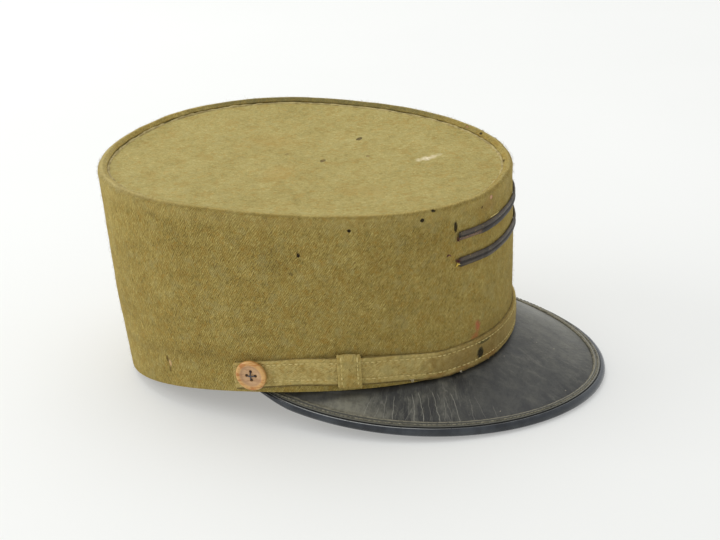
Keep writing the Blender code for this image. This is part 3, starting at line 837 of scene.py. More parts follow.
def peak_finish():
    """Waxed leather, dark where it is whole, grey where it is dusty and where sheen is painted, with a painted
    shadow under the hem, and cracked at the sides.
    """
    finish = Finish("peak_leather", Specular_IOR_Level=0.5)
    along, across = finish.sheet()
    place = finish.place()
    cracks = crack_lines(finish, along, across, place)
    x = finish.node("ShaderNodeSeparateXYZ", {}, {0: place}, 0)
    y = finish.node("ShaderNodeSeparateXYZ", {}, {0: place}, 1) - CRACK_CENTRE
    grain = finish.cloud(place, 0.0007, 4.0, 0.6)
    pebble = finish.cloud(place, 0.0022, 3.0, 0.6)
    cloud = finish.cloud(place, 0.016, 4.0, 0.65, 0.6)
    broad = finish.cloud(place, 0.05, 2.0)
    bend = finish.cloud(place, 0.007, 3.0, 0.6)
    fine_bend = finish.cloud(place, 0.0015, 2.0)
    aside = abs(x) + CRACK_SET_BACK
    angle = y.math("ARCTAN2", y, aside)
    reach = (aside * aside + y * y) ** 0.5
    sideways = angle * 0.11 + (bend - 0.5) * 0.0032 + (fine_bend - 0.5) * 0.0007
    second = finish.cloud(finish.join(sideways + 0.3, reach * 0.07), 0.0022, 1.0)
    hairline = 1 - abs(second - 0.5).ease(0.002, 0.013)
    bent = angle.ease(-0.56, -0.36) * (1 - angle.ease(-0.10, 0.02))
    worn = finish.cloud(place, 0.012, 2.0).ease(0.30, 0.50)
    cracks = cracks.most(hairline * 0.30 * worn * bent)
    slanted = finish.join(along * 0.9 + across * 0.5, (across * 0.9 - along * 0.5) * 16.0)
    scratch = finish.cloud(slanted, 0.016, 2.0, 0.5, 0.2).ease(0.62, 0.70) * cloud.ease(0.42, 0.62)
    base = finish.mix(tint(24, 25, 24), tint(64, 64, 58), cloud.ease(0.36, 0.62))
    smear = finish.cloud(finish.join(sideways, reach * 0.4), 0.0060, 4.0, 0.7).ease(0.46, 0.64)
    brushed = finish.cloud(finish.join(sideways, reach * 0.10), 0.0011, 3.0, 0.6)
    base = finish.mix(base, tint(104, 103, 92), smear * (bent * 0.5 + 0.15))
    # Grey over the middle and far side of the plate: partly dust in the wax, partly painted sheen of the
    # bright surroundings at a glancing angle.
    dust_and_sheen = x.ease(-0.042, 0.050).most(angle.ease(-0.12, 0.04)) * (cloud * 0.8 + brushed * 0.5 + broad * 0.4)
    base = finish.mix(base, tint(120, 119, 107), dust_and_sheen * 0.60)
    # Pale and dark streaks of painted sheen over the middle and far side of the plate.
    drawn = finish.join((x * 0.36 + y * 0.93) * 0.40, x * 0.93 - y * 0.36)
    reflection_streaks = finish.cloud(drawn, 0.0060, 5.0, 0.7, 0.4)
    pale_reflection = reflection_streaks.ease(0.50, 0.72) * x.ease(-0.060, -0.010)
    base = finish.mix(base, tint(134, 132, 118), pale_reflection * 0.34)
    dark_reflection = (1 - reflection_streaks.ease(0.30, 0.54)) * x.ease(-0.070, -0.020)
    base = finish.mix(base, tint(46, 47, 45), dark_reflection * 0.50)
    corner_dust = abs(along).ease(0.112, 0.150) * cloud.ease(0.26, 0.52)
    base = finish.mix(base, tint(134, 131, 113), corner_dust * 0.80)
    base = finish.mix(base, tint(20, 20, 19), (1 - brushed.ease(0.30, 0.52)) * (bent * 0.25 + 0.12))
    base = finish.mix(base, tint(30, 30, 28), (1 - pebble.ease(0.34, 0.58)) * 0.30)
    # Painted reflection: the far side of the plate lighter, as the bright surroundings are reflected at a
    # glancing angle.
    base = finish.mix(base, tint(142, 141, 129), x.ease(0.010, 0.070) * 0.34)
    base = finish.mix(base, tint(100, 98, 88), scratch * 0.22)
    base = finish.mix(base, tint(166, 163, 150), cracks * 0.66)
    # Painted shadow on the plate close under the hem, measured from the hem's own oval.
    ahead = y + (CRACK_CENTRE - HEM_MIDDLE)
    wide = x / (HEM_WIDTH / 2) / (1 + ahead * (HEM_REAR_SHARE * 2 / HEM_LENGTH))
    long = ahead / (HEM_LENGTH / 2)
    from_hem = (abs(wide) ** HEM_SQUARENESS + abs(long) ** HEM_SQUARENESS) ** (1 / HEM_SQUARENESS)
    shadow = 1 - (from_hem + (cloud - 0.5) * 0.03).ease(1.000, 1.040)
    base = finish.mix(base, tint(20, 19, 17), shadow * (abs(along).ease(0.060, 0.120) * 0.20 + 0.60))
    speck = finish.cloud(place, 0.0017, 1.0, 0.4).ease(0.79, 0.83)
    base = finish.mix(base, tint(186, 174, 150), speck * 0.6)
    rough = 0.42 + (cloud - 0.5) * 0.3 + (grain - 0.5) * 0.2 + cracks * 0.2
    finish.give(Base_Color=base, Roughness=rough)
    finish.relief(grain * 0.45 + pebble * 0.55 - cracks * 0.5 + cloud * 1.2, 0.00022)
    return finish.material


def edging_finish():
    """Smooth blue-black leather whose edges are rubbed down to tan along the seam, with a painted highlight
    along the fold, painted light on its far half and painted shade in its grooves.
    """
    finish = Finish("edging_leather", Specular_IOR_Level=0.5)
    along, across = finish.sheet()
    place = finish.place()
    grain = finish.cloud(place, 0.0006, 3.0, 0.6)
    cloud = finish.cloud(place, 0.010, 3.0, 0.6)
    chafe = finish.cloud(finish.join(along, across), 0.0022, 3.0, 0.7)
    lap = across.ease(CREASE_AT, CREASE_AT + 0.0002)
    base = finish.mix(tint(30, 34, 39), tint(58, 63, 68), cloud.ease(0.3, 0.75))
    # Painted light: the roll and the seam band are lighter over the far half of the edging, where it catches
    # the light.
    base = finish.mix(base, tint(100, 104, 108), (1 - along.ease(0.000, 0.050)) * 0.55)
    ridge = finish.mix(tint(92, 90, 78), tint(140, 137, 122), (1 - along.ease(0.000, 0.050)) * 0.7)
    base = finish.mix(ridge, base, lap.most((1 - chafe.ease(0.26, 0.50)) * 0.7))
    # Painted shade: dark lines in the groove beside the crease and along the inner brink.
    groove = 1 - abs(across - CREASE_AT + 0.00030).ease(0.00022, 0.00055)
    inner_groove = 1 - abs(across - BRINK_AT - 0.00048).ease(0.00010, 0.00030)
    base = finish.mix(base, tint(22, 23, 21), groove.most(inner_groove * 0.8))
    # Painted highlight: a thin bright line along the fold of the edging, strongest towards the corners.
    shine = (1 - abs(across - CREASE_AT - 0.00085).ease(0.00018, 0.00046)) * chafe.ease(0.26, 0.42)
    shine = shine * (0.10 + abs(along).ease(0.085, 0.118) * 0.80)
    brink = (1 - abs(across - BRINK_AT + 0.0002).ease(0.00012, 0.00050)) * chafe.ease(0.30, 0.52)
    base = finish.mix(base, tint(152, 148, 130), brink * 0.8)
    base = finish.mix(base, tint(186, 188, 188), shine)
    shine_and_brink = shine.most(brink)
    finish.give(Base_Color=base, Roughness=0.20 + (grain - 0.5) * 0.15 + shine_and_brink * 0.4 + (1 - lap) * 0.2)
    finish.relief(grain * 0.25 + cloud * 0.4, 0.00012)
    return finish.material


# %% [markdown]
# The plate is a sheet from under the hem out to its edge, and Solidify gives the leather its
# thickness downwards. At the corners the real leather is pared thin so that it slips in under the
# hem, so a vertex group thins the sheet there, and the edging is drawn in by the same share.

# %% Plate of the peak
PARED = 0.62
PARED_LENGTH = 0.020


def pared(spot):
    """Share of its full thickness that the peak keeps here: all of it, but less at the corners."""
    return 1 - PARED * smooth((spot.y - PEAK_CORNER_Y + PARED_LENGTH) / PARED_LENGTH)


def pared_lift(spot):
    """How far a pared corner moves up, so that it stays just under the hem."""
    return BINDING_RADIUS * (1 - pared(spot)) * 0.95


def plate_spot(share, row):
    place = peak_place(share)
    middle, inwards, up = PEAK_FRAMES[round(share * PEAK_COLUMNS)]
    edge = middle + up * (PEAK_THICKNESS / 2 * pared(middle) + pared_lift(middle))
    lap = edge + inwards * (BINDING_LAP + CLEARANCE)
    if row > 1:
        spot = lap.lerp(edge, row - 1)
    elif row < 0:
        spot = peak_root(place, WALL * -row)
    else:
        spot = peak_root(place, 0).lerp(lap, row)
    free = smooth(row * 6) * smooth((1 - row) * 6) if 0 < row < 1 else 0
    spot = spot + up * free * (lumps(spot, 0.028, 0.0007) + lumps(spot, 0.009, 0.00016))
    return spot


def plate_chart(share, row, index):
    span = (peak_root(peak_place(share), 0) - PEAK_FRAMES[round(share * PEAK_COLUMNS)][0]).length
    return PEAK_WAYS[round(share * PEAK_COLUMNS)] - PEAK_HALF_WAY, (1 - row) * span


plate_rows = [-1, -0.5] + spread(0, 1, 72) + [1.5, 2]
plate_mesh = wrap("peak_plate", PEAK_COLUMNS, plate_rows, plate_spot, plate_chart)
if sum(face.normal.z for face in plate_mesh.polygons) < 0:
    plate_mesh.flip_normals()
plate = dress("peak_plate", plate_mesh, peak_finish(), "peak_leather", ["peak"])
leather = plate.modifiers.new("Leather", "SOLIDIFY")
leather.thickness = PEAK_THICKNESS
leather.offset = -1
leather.use_even_offset = True
shares = plate.vertex_groups.new(name="thickness")
for vertex in plate_mesh.vertices:
    shares.add([vertex.index], pared(vertex.co), "REPLACE")
leather.vertex_group = "thickness"

# %% [markdown]
# The edging is a strip of thinner leather folded over the plate's edge and stitched down. Its
# section is a short list of points, which goes round the roll and has a crease where the fold
# springs up and a shallow channel where the stitches pull it in.

# %% Rolled edging
CREASE_WIDE = 0.0005
STITCH_LINE = 0.0021


def edging_rows():
    """Section of the edging from its inner brink over the seam, the crease and the roll."""
    rows = [(BINDING_LAP, BINDING_RADIUS - BINDING_LEATHER)]
    for angle in spread(0, math.pi / 2, 4)[1:]:
        rows.append((
            BINDING_LAP - 0.0006 + 0.0006 * math.cos(angle),
            BINDING_RADIUS - 0.0008 + 0.0006 * math.sin(angle),
        ))
    for across in spread(BINDING_LAP - 0.0008, 0.0003, 22):
        groove = math.exp(-((across - STITCH_LINE) / 0.00045) ** 2) * 0.00025
        crease = math.exp(-((across - CREASE_WIDE) / 0.00035) ** 2) * 0.00065
        rows.append((across, BINDING_RADIUS - 0.0001 - groove - crease))
    for angle in spread(math.pi / 2, -math.pi / 2, 22):
        rows.append((-BINDING_RADIUS * math.cos(angle), BINDING_RADIUS * math.sin(angle)))
    for across in spread(0.0005, BINDING_LAP, 5):
        rows.append((across, -BINDING_RADIUS))
    inner = BINDING_RADIUS - BINDING_LEATHER
    rows.append((BINDING_LAP, -inner))
    for angle in spread(-math.pi / 2, math.pi / 2, 6):
        rows.append((-inner * math.cos(angle), inner * math.sin(angle)))
    return rows


EDGING_ROWS = edging_rows()
EDGING_WAYS = [0.0]
for (a, b), (c, d) in zip(EDGING_ROWS, EDGING_ROWS[1:]):
    EDGING_WAYS.append(EDGING_WAYS[-1] + math.hypot(c - a, d - b))
BRINK_AT = EDGING_WAYS[3]
CREASE_AT = EDGING_WAYS[min(range(5, 28), key=lambda row: abs(EDGING_ROWS[row][0] - CREASE_WIDE))]


def on_edging(middle, inwards, up, across, rise):
    """A point of the edging's section, drawn in and lifted at the pared corners."""
    thin = pared(middle)
    return middle + inwards * across * (0.4 + 0.6 * thin) + up * (rise * thin + pared_lift(middle))


def edging_spot(share, row):
    middle, inwards, up = PEAK_FRAMES[round(share * PEAK_COLUMNS)]
    across, rise = row
    spot = on_edging(middle, inwards, up, across, rise)
    if rise <= 0 or across > BINDING_LAP - 0.0001:
        return spot
    return spot + up * lumps(spot, 0.009, 0.00012) + up * lumps(spot, 0.003, 0.00005)


def edging_chart(share, row, index):
    way = EDGING_WAYS[min(index, len(EDGING_WAYS) - 1)]
    return PEAK_WAYS[round(share * PEAK_COLUMNS)] - PEAK_HALF_WAY, way


edging_mesh = wrap("peak_edging", PEAK_COLUMNS, EDGING_ROWS, edging_spot, edging_chart, closed=True)
dress("peak_edging", edging_mesh, edging_finish(), "binding_leather", ["peak_binding"])

# %% [markdown]
# Stitches are short strands that come up out of the cloth, lie over it and go down again. One
# helper lays a row of them along any line. A thread is round, so a curve with a small bevel gives
# its shape.

# %% Stitches
# One stitch from end to end: it comes up, lies over the cloth and goes down again.
# Columns: share of its length, share of its depth under, share of its rise over, thickness
STITCH_SHAPE = (
    (0.00, 1, 0.0, 0.70),
    (0.12, 0, 0.5, 0.95),
    (0.50, 0, 1.0, 1.10),
    (0.88, 0, 0.5, 0.95),
    (1.00, 1, 0.0, 0.70),
)


def stitch_row(spot_at, start, stop, pitch, length, depth, rise):
    """A row of stitches: spot_at gives a point from the way along the row and a stand-off."""
    random.seed(round(start * 1e5) + round(pitch * 1e6))
    paths = []
    way = start
    while way + length < stop:
        begin = way + random.uniform(-0.06, 0.06) * pitch
        reach = length * random.uniform(0.88, 1.08)
        lift = rise * random.uniform(0.7, 1.15)
        path = []
        for share, under, over, thick in STITCH_SHAPE:
            path.append((spot_at(begin + reach * share, lift * over - depth * under), thick))
        paths.append(path)
        way += pitch
    return paths


def thread_finish(name, shade, worn):
    finish = Finish(name, Roughness=0.8, Specular_IOR_Level=0.25)
    tone = finish.cloud(finish.place(), 0.0024, 3.0, 0.6)
    ply = finish.cloud(finish.place(), 0.0004, 2.0)
    finish.give(Base_Color=finish.mix(shade, worn, (tone * 0.7 + ply * 0.3).ease(0.35, 0.65)))
    finish.relief(ply, 0.0001)
    return finish.material


def edging_stitch_spot(way, out):
    place = max(0.0, min(PEAK_WAYS[-1], way))
    index = max(1, min(PEAK_COLUMNS, bisect_left(PEAK_WAYS, place)))
    share = (place - PEAK_WAYS[index - 1]) / (PEAK_WAYS[index] - PEAK_WAYS[index - 1])
    before = PEAK_FRAMES[index - 1]
    after = PEAK_FRAMES[index]
    middle, inwards, up = (first.lerp(second, share) for first, second in zip(before, after))
    return on_edging(middle, inwards, up, STITCH_LINE, BINDING_RADIUS - 0.0003 + out)


tan_thread = thread_finish("tan_thread", tint(90, 88, 76), tint(144, 139, 120))
edging_stitches = stitch_row(
    edging_stitch_spot,
    0.006,
    PEAK_WAYS[-1] - 0.006,
    pitch=0.0024,
    length=0.0020,
    depth=0.0004,
    rise=0.00026,
)
dress("peak_stitches", strands("peak_stitches", edging_stitches, 0.00036, 1), tan_thread, "binding_leather")
brink_path = []
for (middle, inwards, up), way in zip(PEAK_FRAMES, PEAK_WAYS):
    spot = on_edging(middle, inwards, up, BINDING_LAP + 0.00005, PEAK_THICKNESS / 2 + 0.00035)
    brink_path.append((spot, 1 + 0.3 * noise.noise(Vector((way / 0.003, 5.0, 0)))))
pale_edge = thread_finish("pale_edge", tint(92, 90, 78), tint(158, 152, 132))
dress("peak_brink", strands("peak_brink", [brink_path], 0.00042, 1), pale_edge, "binding_leather")

# %% [markdown]
# The chin strap is a folded strip of the same cloth, sewn along both edges, which buttons at the
# sides and runs through a keeper on each. The stitches pull the cloth in, so the strip is puffed
# up between them. It is laid round the wall at the height that a short table gives.

# %% Chin strap
STRAP_WIDTH = 0.0136
STRAP_THICKNESS = 0.0016
STRAP_END = math.radians(94.5)
LOOP_PLACE = math.radians(65.2)
LOOP_WIDTH = 0.0112
LOOP_THICKNESS = 0.0012
LOOP_SLACK = 0.0006
LOOP_EASE = 0.0220
STRAP_COLUMNS = 700
UPPER_STITCH = STRAP_WIDTH - 0.0021
LOWER_STITCH = 0.0027

# Lower edge of the strap on one side, from the front round to the end of the strap.
# Columns: share of the way to the end, height above the hem as a share of the strap's width
STRAP_LINE = (
    (0.00, 0.090),
    (0.30, 0.080),
    (0.39, 0.075),
    (0.50, 0.200),
    (0.58, 0.285),
    (0.66, 0.345),
    (0.73, 0.380),
    (0.81, 0.385),
    (0.88, 0.340),
    (0.94, 0.280),
    (1.00, 0.210),
)


def slope_at(rows, index):
    """Slope of a two-column table at a row, level at its first row."""
    if index == 0:
        return 0.0
    after = min(index + 1, len(rows) - 1)
    return (rows[after][1] - rows[index - 1][1]) / (rows[after][0] - rows[index - 1][0])


def read_line(rows, place):
    """Reads a two-column table along a smooth curve through its rows."""
    index = 0
    while index < len(rows) - 2 and place > rows[index + 1][0]:
        index += 1
    start, low = rows[index]
    stop, high = rows[index + 1]
    way = min(1.0, (place - start) / (stop - start))
    leave = way * (1 - way) ** 2 * (stop - start) * slope_at(rows, index)
    arrive = way ** 2 * (1 - way) * (stop - start) * slope_at(rows, index + 1)
    return low + (high - low) * smooth(way) + leave - arrive


def strap_stand_off(turn):
    """How far the strap's inner face stands off the wall, more where a keeper passes behind it."""
    away = abs(abs(way_at(turn) - way_at(HALF_TURN)) - (way_at(HALF_TURN + LOOP_PLACE) - way_at(HALF_TURN)))
    ease = 1 - smooth((away - LOOP_WIDTH / 2 - CLEARANCE) / LOOP_EASE)
    return CLEARANCE + ease * (LOOP_THICKNESS + CLEARANCE)


def strap_lower_edge(turn):
    return STRAP_WIDTH * read_line(STRAP_LINE, abs(turn - HALF_TURN) / STRAP_END)


def strap_spot(turn, up, out):
    """A point on the strap: up from its lower edge and out from its inner face."""
    edge = strap_lower_edge(turn)
    return wall_point(turn, edge + up, strap_stand_off(turn) + out)


def strap_rows():
    """The strap's section: up its face, over its upper fold, down its back and round again."""
    radius = STRAP_THICKNESS / 2
    rows = []
    for up in spread(radius, STRAP_WIDTH - radius, 34):
        rows.append((up, STRAP_THICKNESS))
    for angle in spread(math.pi / 2, -math.pi / 2, 6)[1:-1]:
        rows.append((STRAP_WIDTH - radius + radius * math.cos(angle), radius + radius * math.sin(angle)))
    for up in spread(STRAP_WIDTH - radius, radius, 6):
        rows.append((up, 0.0))
    for angle in spread(-math.pi / 2, -3 * math.pi / 2, 6)[1:-1]:
        rows.append((radius + radius * math.cos(angle), radius + radius * math.sin(angle)))
    return rows


def strap_relief(turn, up):
    """Height of the strap's face over its even thickness: puffed up, and drawn in by the seams."""
    puff = 0.00032 * math.sin(math.pi * up / STRAP_WIDTH) ** 0.7
    upper = 0.00040 * math.exp(-((up - UPPER_STITCH) / 0.00065) ** 2)
    lower = 0.00040 * math.exp(-((up - LOWER_STITCH) / 0.00065) ** 2)
    spot = Vector((way_at(turn), up, 0.3))
    ripple = lumps(Vector((way_at(turn), up * 0.5, 0.7)), 0.0042, 0.00012)
    return puff - upper - lower + ripple + lumps(spot, 0.0022, 0.00006)


def strap_skin(share, row):
    turn = HALF_TURN - STRAP_END + 2 * STRAP_END * share
    up, out = row
    if out >= STRAP_THICKNESS / 2:
        depth = (out - STRAP_THICKNESS / 2) / (STRAP_THICKNESS / 2)
        out += strap_relief(turn, up) * depth
    edge = lumps(Vector((way_at(turn), 0.2, 0.0)), 0.010, 0.00025)
    return strap_spot(turn, up + edge * (1 if up > STRAP_WIDTH / 2 else 0.4), out)


def strap_chart(share, row, index):
    turn = HALF_TURN - STRAP_END + 2 * STRAP_END * share
    return way_at(turn), row[0]


strap_marks = [
    (way_at(math.radians(199.8)), 0.0057, 0.0024, 0.0031, 1.0, tint(6, 5, 3)),
    (way_at(math.radians(197.4)), 0.0108, 0.0045, 0.0007, 0.75, tint(66, 66, 38)),
]
strap_stains_and_shade = [
    (way_at(math.radians(193.5)), 0.0022, 0.0070, 0.0022, 0.75, tint(160, 104, 54)),
    (way_at(math.radians(207.0)), 0.0012, 0.0060, 0.0016, 0.60, tint(150, 100, 56)),
    (way_at(math.radians(218.0)), 0.0010, 0.0050, 0.0014, 0.50, tint(146, 104, 60)),
    # The last two darken the strap towards its front, where less light falls: painted shade.
    (way_at(math.radians(202.0)), 0.0070, 0.0340, 0.0110, 0.72, tint(116, 92, 46)),
    (way_at(math.radians(180.0)), 0.0070, 0.0300, 0.0110, 0.60, tint(116, 92, 46)),
]
strap_wool = wool(
    "strap_wool",
    tint(114, 97, 52),
    tint(177, 157, 95),
    tint(206, 188, 126),
    ribs=0.12,
    flecks=1.6,
    direction=math.radians(150),
    marks=strap_marks,
    stains_light_and_shade=strap_stains_and_shade,
)
strap_mesh = wrap("strap_cloth", STRAP_COLUMNS, strap_rows(), strap_skin, strap_chart, closed=True)
dress("strap_cloth", strap_mesh, strap_wool, "strap_wool", ["chin_strap"])

# %% [markdown]
# The strap is sewn with straw-coloured thread along both edges. The rows follow the same relief
# as the cloth, so each stitch lies in the channel that the seam pulls in.

# %% Stitches of the strap
STRAP_START_WAY = way_at(HALF_TURN - STRAP_END)
STRAP_STOP_WAY = way_at(HALF_TURN + STRAP_END)


def along_strap(up):
    def spot(way, out):
        turn = turn_at(way)
        return strap_spot(turn, up, STRAP_THICKNESS + strap_relief(turn, up) + out)
    return spot


straw_thread = thread_finish("straw_thread", tint(196, 176, 106), tint(232, 216, 152))
strap_stitches = []
for up in (UPPER_STITCH, LOWER_STITCH):
    strap_stitches += stitch_row(
        along_strap(up),
        STRAP_START_WAY + 0.003,
        STRAP_STOP_WAY - 0.003,
        pitch=0.0028,
        length=0.0019,
        depth=0.0003,
        rise=0.00016,
    )
dress("strap_stitches", strands("strap_stitches", strap_stitches, 0.00024, 1), straw_thread, "strap_wool")

# %% [markdown]
# Along both edges of the strap, strands fill the narrow gap to the wall. A dark strand along the
# lower edge is a painted shadow under the strap, and a paler one fills the gap at the upper edge,
# where the light falls in, in the tone of the soft shade there. It is as thick as the gap is wide.

# %% Gap behind the strap
GAP_RADIUS = 0.0005
# painted shadow: a dark strand under the strap's lower edge
gap_shadow_wool = thread_finish("gap_shadow_wool", tint(98, 82, 42), tint(130, 112, 62))
# painted shade: a paler strand in the tone of the soft shade in the gap at the upper edge
upper_gap_shade_wool = thread_finish("upper_gap_shade_wool", tint(108, 92, 48), tint(142, 124, 70))
lower_path = []
upper_path = []
for turn in spread(HALF_TURN - STRAP_END, HALF_TURN + STRAP_END, 240):
    edge = strap_lower_edge(turn)
    away = strap_stand_off(turn)
    wander = noise.noise(Vector((way_at(turn) / 0.004, 0.0, 3.0)))
    lower_path.append((wall_point(turn, edge - 0.0002, away * 0.8 + 0.0004), 1.7 * (1 + 0.4 * wander)))
    fill = away / 2 + 0.0003
    upper_path.append((wall_point(turn, edge + STRAP_WIDTH - fill + 0.0001, away / 2), fill / GAP_RADIUS))
dress("strap_gap", strands("strap_gap", [lower_path], GAP_RADIUS, 1), gap_shadow_wool, "strap_wool")
dress("strap_lint", strands("strap_lint", [upper_path], GAP_RADIUS, 2), upper_gap_shade_wool, "strap_wool")

# %% [markdown]
# Each keeper is a closed band of cloth with a row of stitches near both edges. Here the columns
# of the grid run round the band, and its rows go round the thickness of the cloth.

# %% Keepers
LOOP_COLUMNS = 160
LOOP_ROUND = 0.036


def loop_path():
    """The middle of the keeper's cloth round the strap, as ups, outs and directions outwards."""
    half = LOOP_THICKNESS / 2
    low = -CLEARANCE - LOOP_SLACK - half
    high = STRAP_WIDTH + CLEARANCE + LOOP_SLACK + half
    near = -CLEARANCE - half
    far = STRAP_THICKNESS + CLEARANCE + half + 0.0002
    bend = (far - near) / 2
    centre = (far + near) / 2

    def round_end(middle, start):
        for angle in spread(start, start - math.pi, 16)[1:-1]:
            up, out = math.cos(angle), math.sin(angle)
            path.append((middle + bend * up, centre + bend * out, up, out))

    path = []
    for share in spread(0, 1, LOOP_COLUMNS // 2 - 16):
        path.append((low + bend + (high - low - 2 * bend) * share, far, 0.0, 1.0))
    round_end(high - bend, math.pi / 2)
    for share in spread(1, 0, LOOP_COLUMNS // 2 - 16):
        path.append((low + bend + (high - low - 2 * bend) * share, near, 0.0, -1.0))
    round_end(low + bend, -math.pi / 2)
    return path


def loop_rows():
    """Section of the keeper's cloth: across it and through it."""
    half = LOOP_WIDTH / 2
    radius = LOOP_THICKNESS / 2
    rows = [(across, radius) for across in spread(-half + radius, half - radius, 26)]
    for angle in spread(math.pi / 2, -math.pi / 2, 6)[1:-1]:
        rows.append((half - radius + radius * math.cos(angle), radius * math.sin(angle)))
    rows += [(across, -radius) for across in spread(half - radius, -half + radius, 4)]
    for angle in spread(-math.pi / 2, -3 * math.pi / 2, 6)[1:-1]:
        rows.append((-half + radius + radius * math.cos(angle), radius * math.sin(angle)))
    return rows


LOOP_STITCH = LOOP_WIDTH / 2 - 0.0019


def loop_relief(across, seed):
    pinch = sum(0.00028 * math.exp(-((across - side * LOOP_STITCH) / 0.0005) ** 2) for side in (-1, 1))
    puff = 0.00022 * math.cos(across / LOOP_WIDTH * math.pi)
    return puff - pinch + lumps(Vector((across, seed, 0)), 0.003, 0.00005)


def loop_spot(side, share, across, through):
    """A point of a keeper, by the share of the way round it."""
    middle = way_at(HALF_TURN + side * LOOP_PLACE)
    path = loop_path()
    place = share * len(path)
    index = int(place) % len(path)
    after = (index + 1) % len(path)
    blend = place - int(place)
    up, out, side_up, side_out = (a + (b - a) * blend for a, b in zip(path[index], path[after]))
    up += side_up * through
    out += side_out * through
    turn = turn_at(middle + across)
    return strap_spot(turn, up, out)


def make_loop(side, name, node):
    """One keeper with its stitches."""
    def skin(share, row):
        across, through = row
        if through > 0:
            through += loop_relief(across, share) * through / (LOOP_THICKNESS / 2)
        at_edge = 1 if abs(across) > LOOP_WIDTH * 0.4 else 0
        fray = lumps(Vector((share * 0.04, side, 0)), 0.004, 0.00025) * at_edge
        return loop_spot(side, share, across + fray, through)

    def chart(share, row, index):
        return row[0] + side, share * LOOP_ROUND

    mesh = wrap(name, LOOP_COLUMNS, loop_rows(), skin, chart, ring=True, closed=True)
    dress(name, mesh, loop_wool, "strap_wool", [node])
    face = STRAP_WIDTH + 0.002
    paths = []
    for across in (-LOOP_STITCH, LOOP_STITCH):
        def spot(way, out, across=across):
            through = LOOP_THICKNESS / 2 + loop_relief(across, 0) + out
            return loop_spot(side, way / LOOP_ROUND, across, through)
        paths += stitch_row(spot, 0.0006, face, pitch=0.0026, length=0.0018, depth=0.0003, rise=0.00016)
    dress(name + "_stitches", strands(name + "_stitches", paths, 0.00024, 1), straw_thread, "strap_wool")


loop_wool = wool(
    "loop_wool",
    tint(108, 92, 48),
    tint(171, 151, 89),
    tint(204, 186, 122),
    ribs=0.16,
    flecks=1.5,
)
make_loop(1, "keeper_right", "strap_loop_right")
make_loop(-1, "keeper_left", "strap_loop_left")

# %% [markdown]
# The buttons are turned from a hard nut: a raised ring round a shallow dish, with four holes. A
# half section spun about the axis gives that shape, and a Boolean drills it. Two dark threads
# cross in the middle.

# %% Buttons
BUTTON_PLACE = math.radians(90)
BUTTON_LIFT = 0.0009
BUTTON_DIAMETER = 0.0160
BUTTON_THICKNESS = 0.0032
BUTTON_RING = 0.0019
BUTTON_HOLE = 0.0017
BUTTON_HOLE_CIRCLE = 0.0046

# Section of the button, from the foot of its raised ring over the crest and round to its back.
# Columns: inset from the edge as a share of the ring's width, height as a share of the thickness
BUTTON_SECTION = (
    (4.21, 0.700),
    (3.60, 0.700),
    (3.00, 0.704),
    (2.40, 0.712),
    (2.00, 0.730),
    (1.70, 0.775),
    (1.45, 0.840),
    (1.22, 0.905),
    (1.00, 0.958),
    (0.80, 0.988),
    (0.60, 1.000),
    (0.42, 0.985),
    (0.26, 0.940),
    (0.12, 0.860),
    (0.03, 0.760),
    (0.00, 0.650),
    (0.04, 0.500),
    (0.12, 0.330),
    (0.40, 0.130),
    (0.90, 0.000),
    (4.21, 0.000),
)


def nut_finish():
    """Turned nut: tan and orange, with rings from the lathe and streaks of the nut's own grain."""
    finish = Finish("button_nut", Specular_IOR_Level=0.5, Coat_Roughness=0.2)
    x, y = finish.sheet()
    place = finish.place()
    radius = (x * x + y * y) ** 0.5
    streak = finish.cloud(finish.join(x * 0.5, y * 1.6), 0.0045, 3.0, 0.6, 1.2)
    rings = (radius * (FULL_TURN / 0.00055) + finish.cloud(place, 0.003, 2.0) * 3.0).sine() * 0.5 + 0.5
    fine = finish.cloud(place, 0.0006, 3.0, 0.6)
    ring = radius.ease(0.0050, 0.0064)
    dish = finish.mix(tint(206, 166, 120), tint(178, 134, 92), streak.ease(0.4, 0.7))
    band = finish.mix(tint(216, 168, 98), tint(188, 120, 50), streak.ease(0.46, 0.60))
    color = finish.mix(dish, band, ring)
    color = finish.mix(color, tint(134, 92, 56), rings * 0.12 + fine.ease(0.5, 0.8) * 0.25)
    groove = 1 - abs(radius - 0.0050).ease(0.0001, 0.0009)
    color = finish.mix(color, tint(150, 104, 66), groove * 0.30)
    edge = radius.ease(0.0076, 0.0081)
    color = finish.mix(color, tint(150, 98, 52), edge * 0.5)
    finish.give(Base_Color=color, Roughness=0.38 + (fine - 0.5) * 0.2, Coat_Weight=0.15 + streak * 0.1)
    finish.relief(rings * 0.3 + fine * 0.4, 0.00008)
    return finish.material


def button_matrix(side):
    """Where a button sits on the strap, and which way it faces."""
    turn = HALF_TURN + side * BUTTON_PLACE
    up = STRAP_WIDTH / 2 + BUTTON_LIFT
    seat = STRAP_THICKNESS + CLEARANCE
    lower = strap_lower_edge(turn)
    stand = strap_stand_off(turn) + seat
    at_seat = wall_point(turn, lower + up, stand)
    ahead = turn_at(way_at(turn) + BUTTON_DIAMETER / 2) - turn
    along = wall_point(turn + ahead, lower + up, stand) - wall_point(turn - ahead, lower + up, stand)
    upright = wall_point(turn, lower + up + BUTTON_DIAMETER / 2, stand) - at_seat
    facing = upright.cross(along).normalized()
    across = upright.normalized().cross(facing).normalized()
    turned = Matrix((across, facing.cross(across), facing)).transposed().to_4x4()
    return Matrix.Translation(at_seat + facing * BUTTON_THICKNESS / 2) @ turned


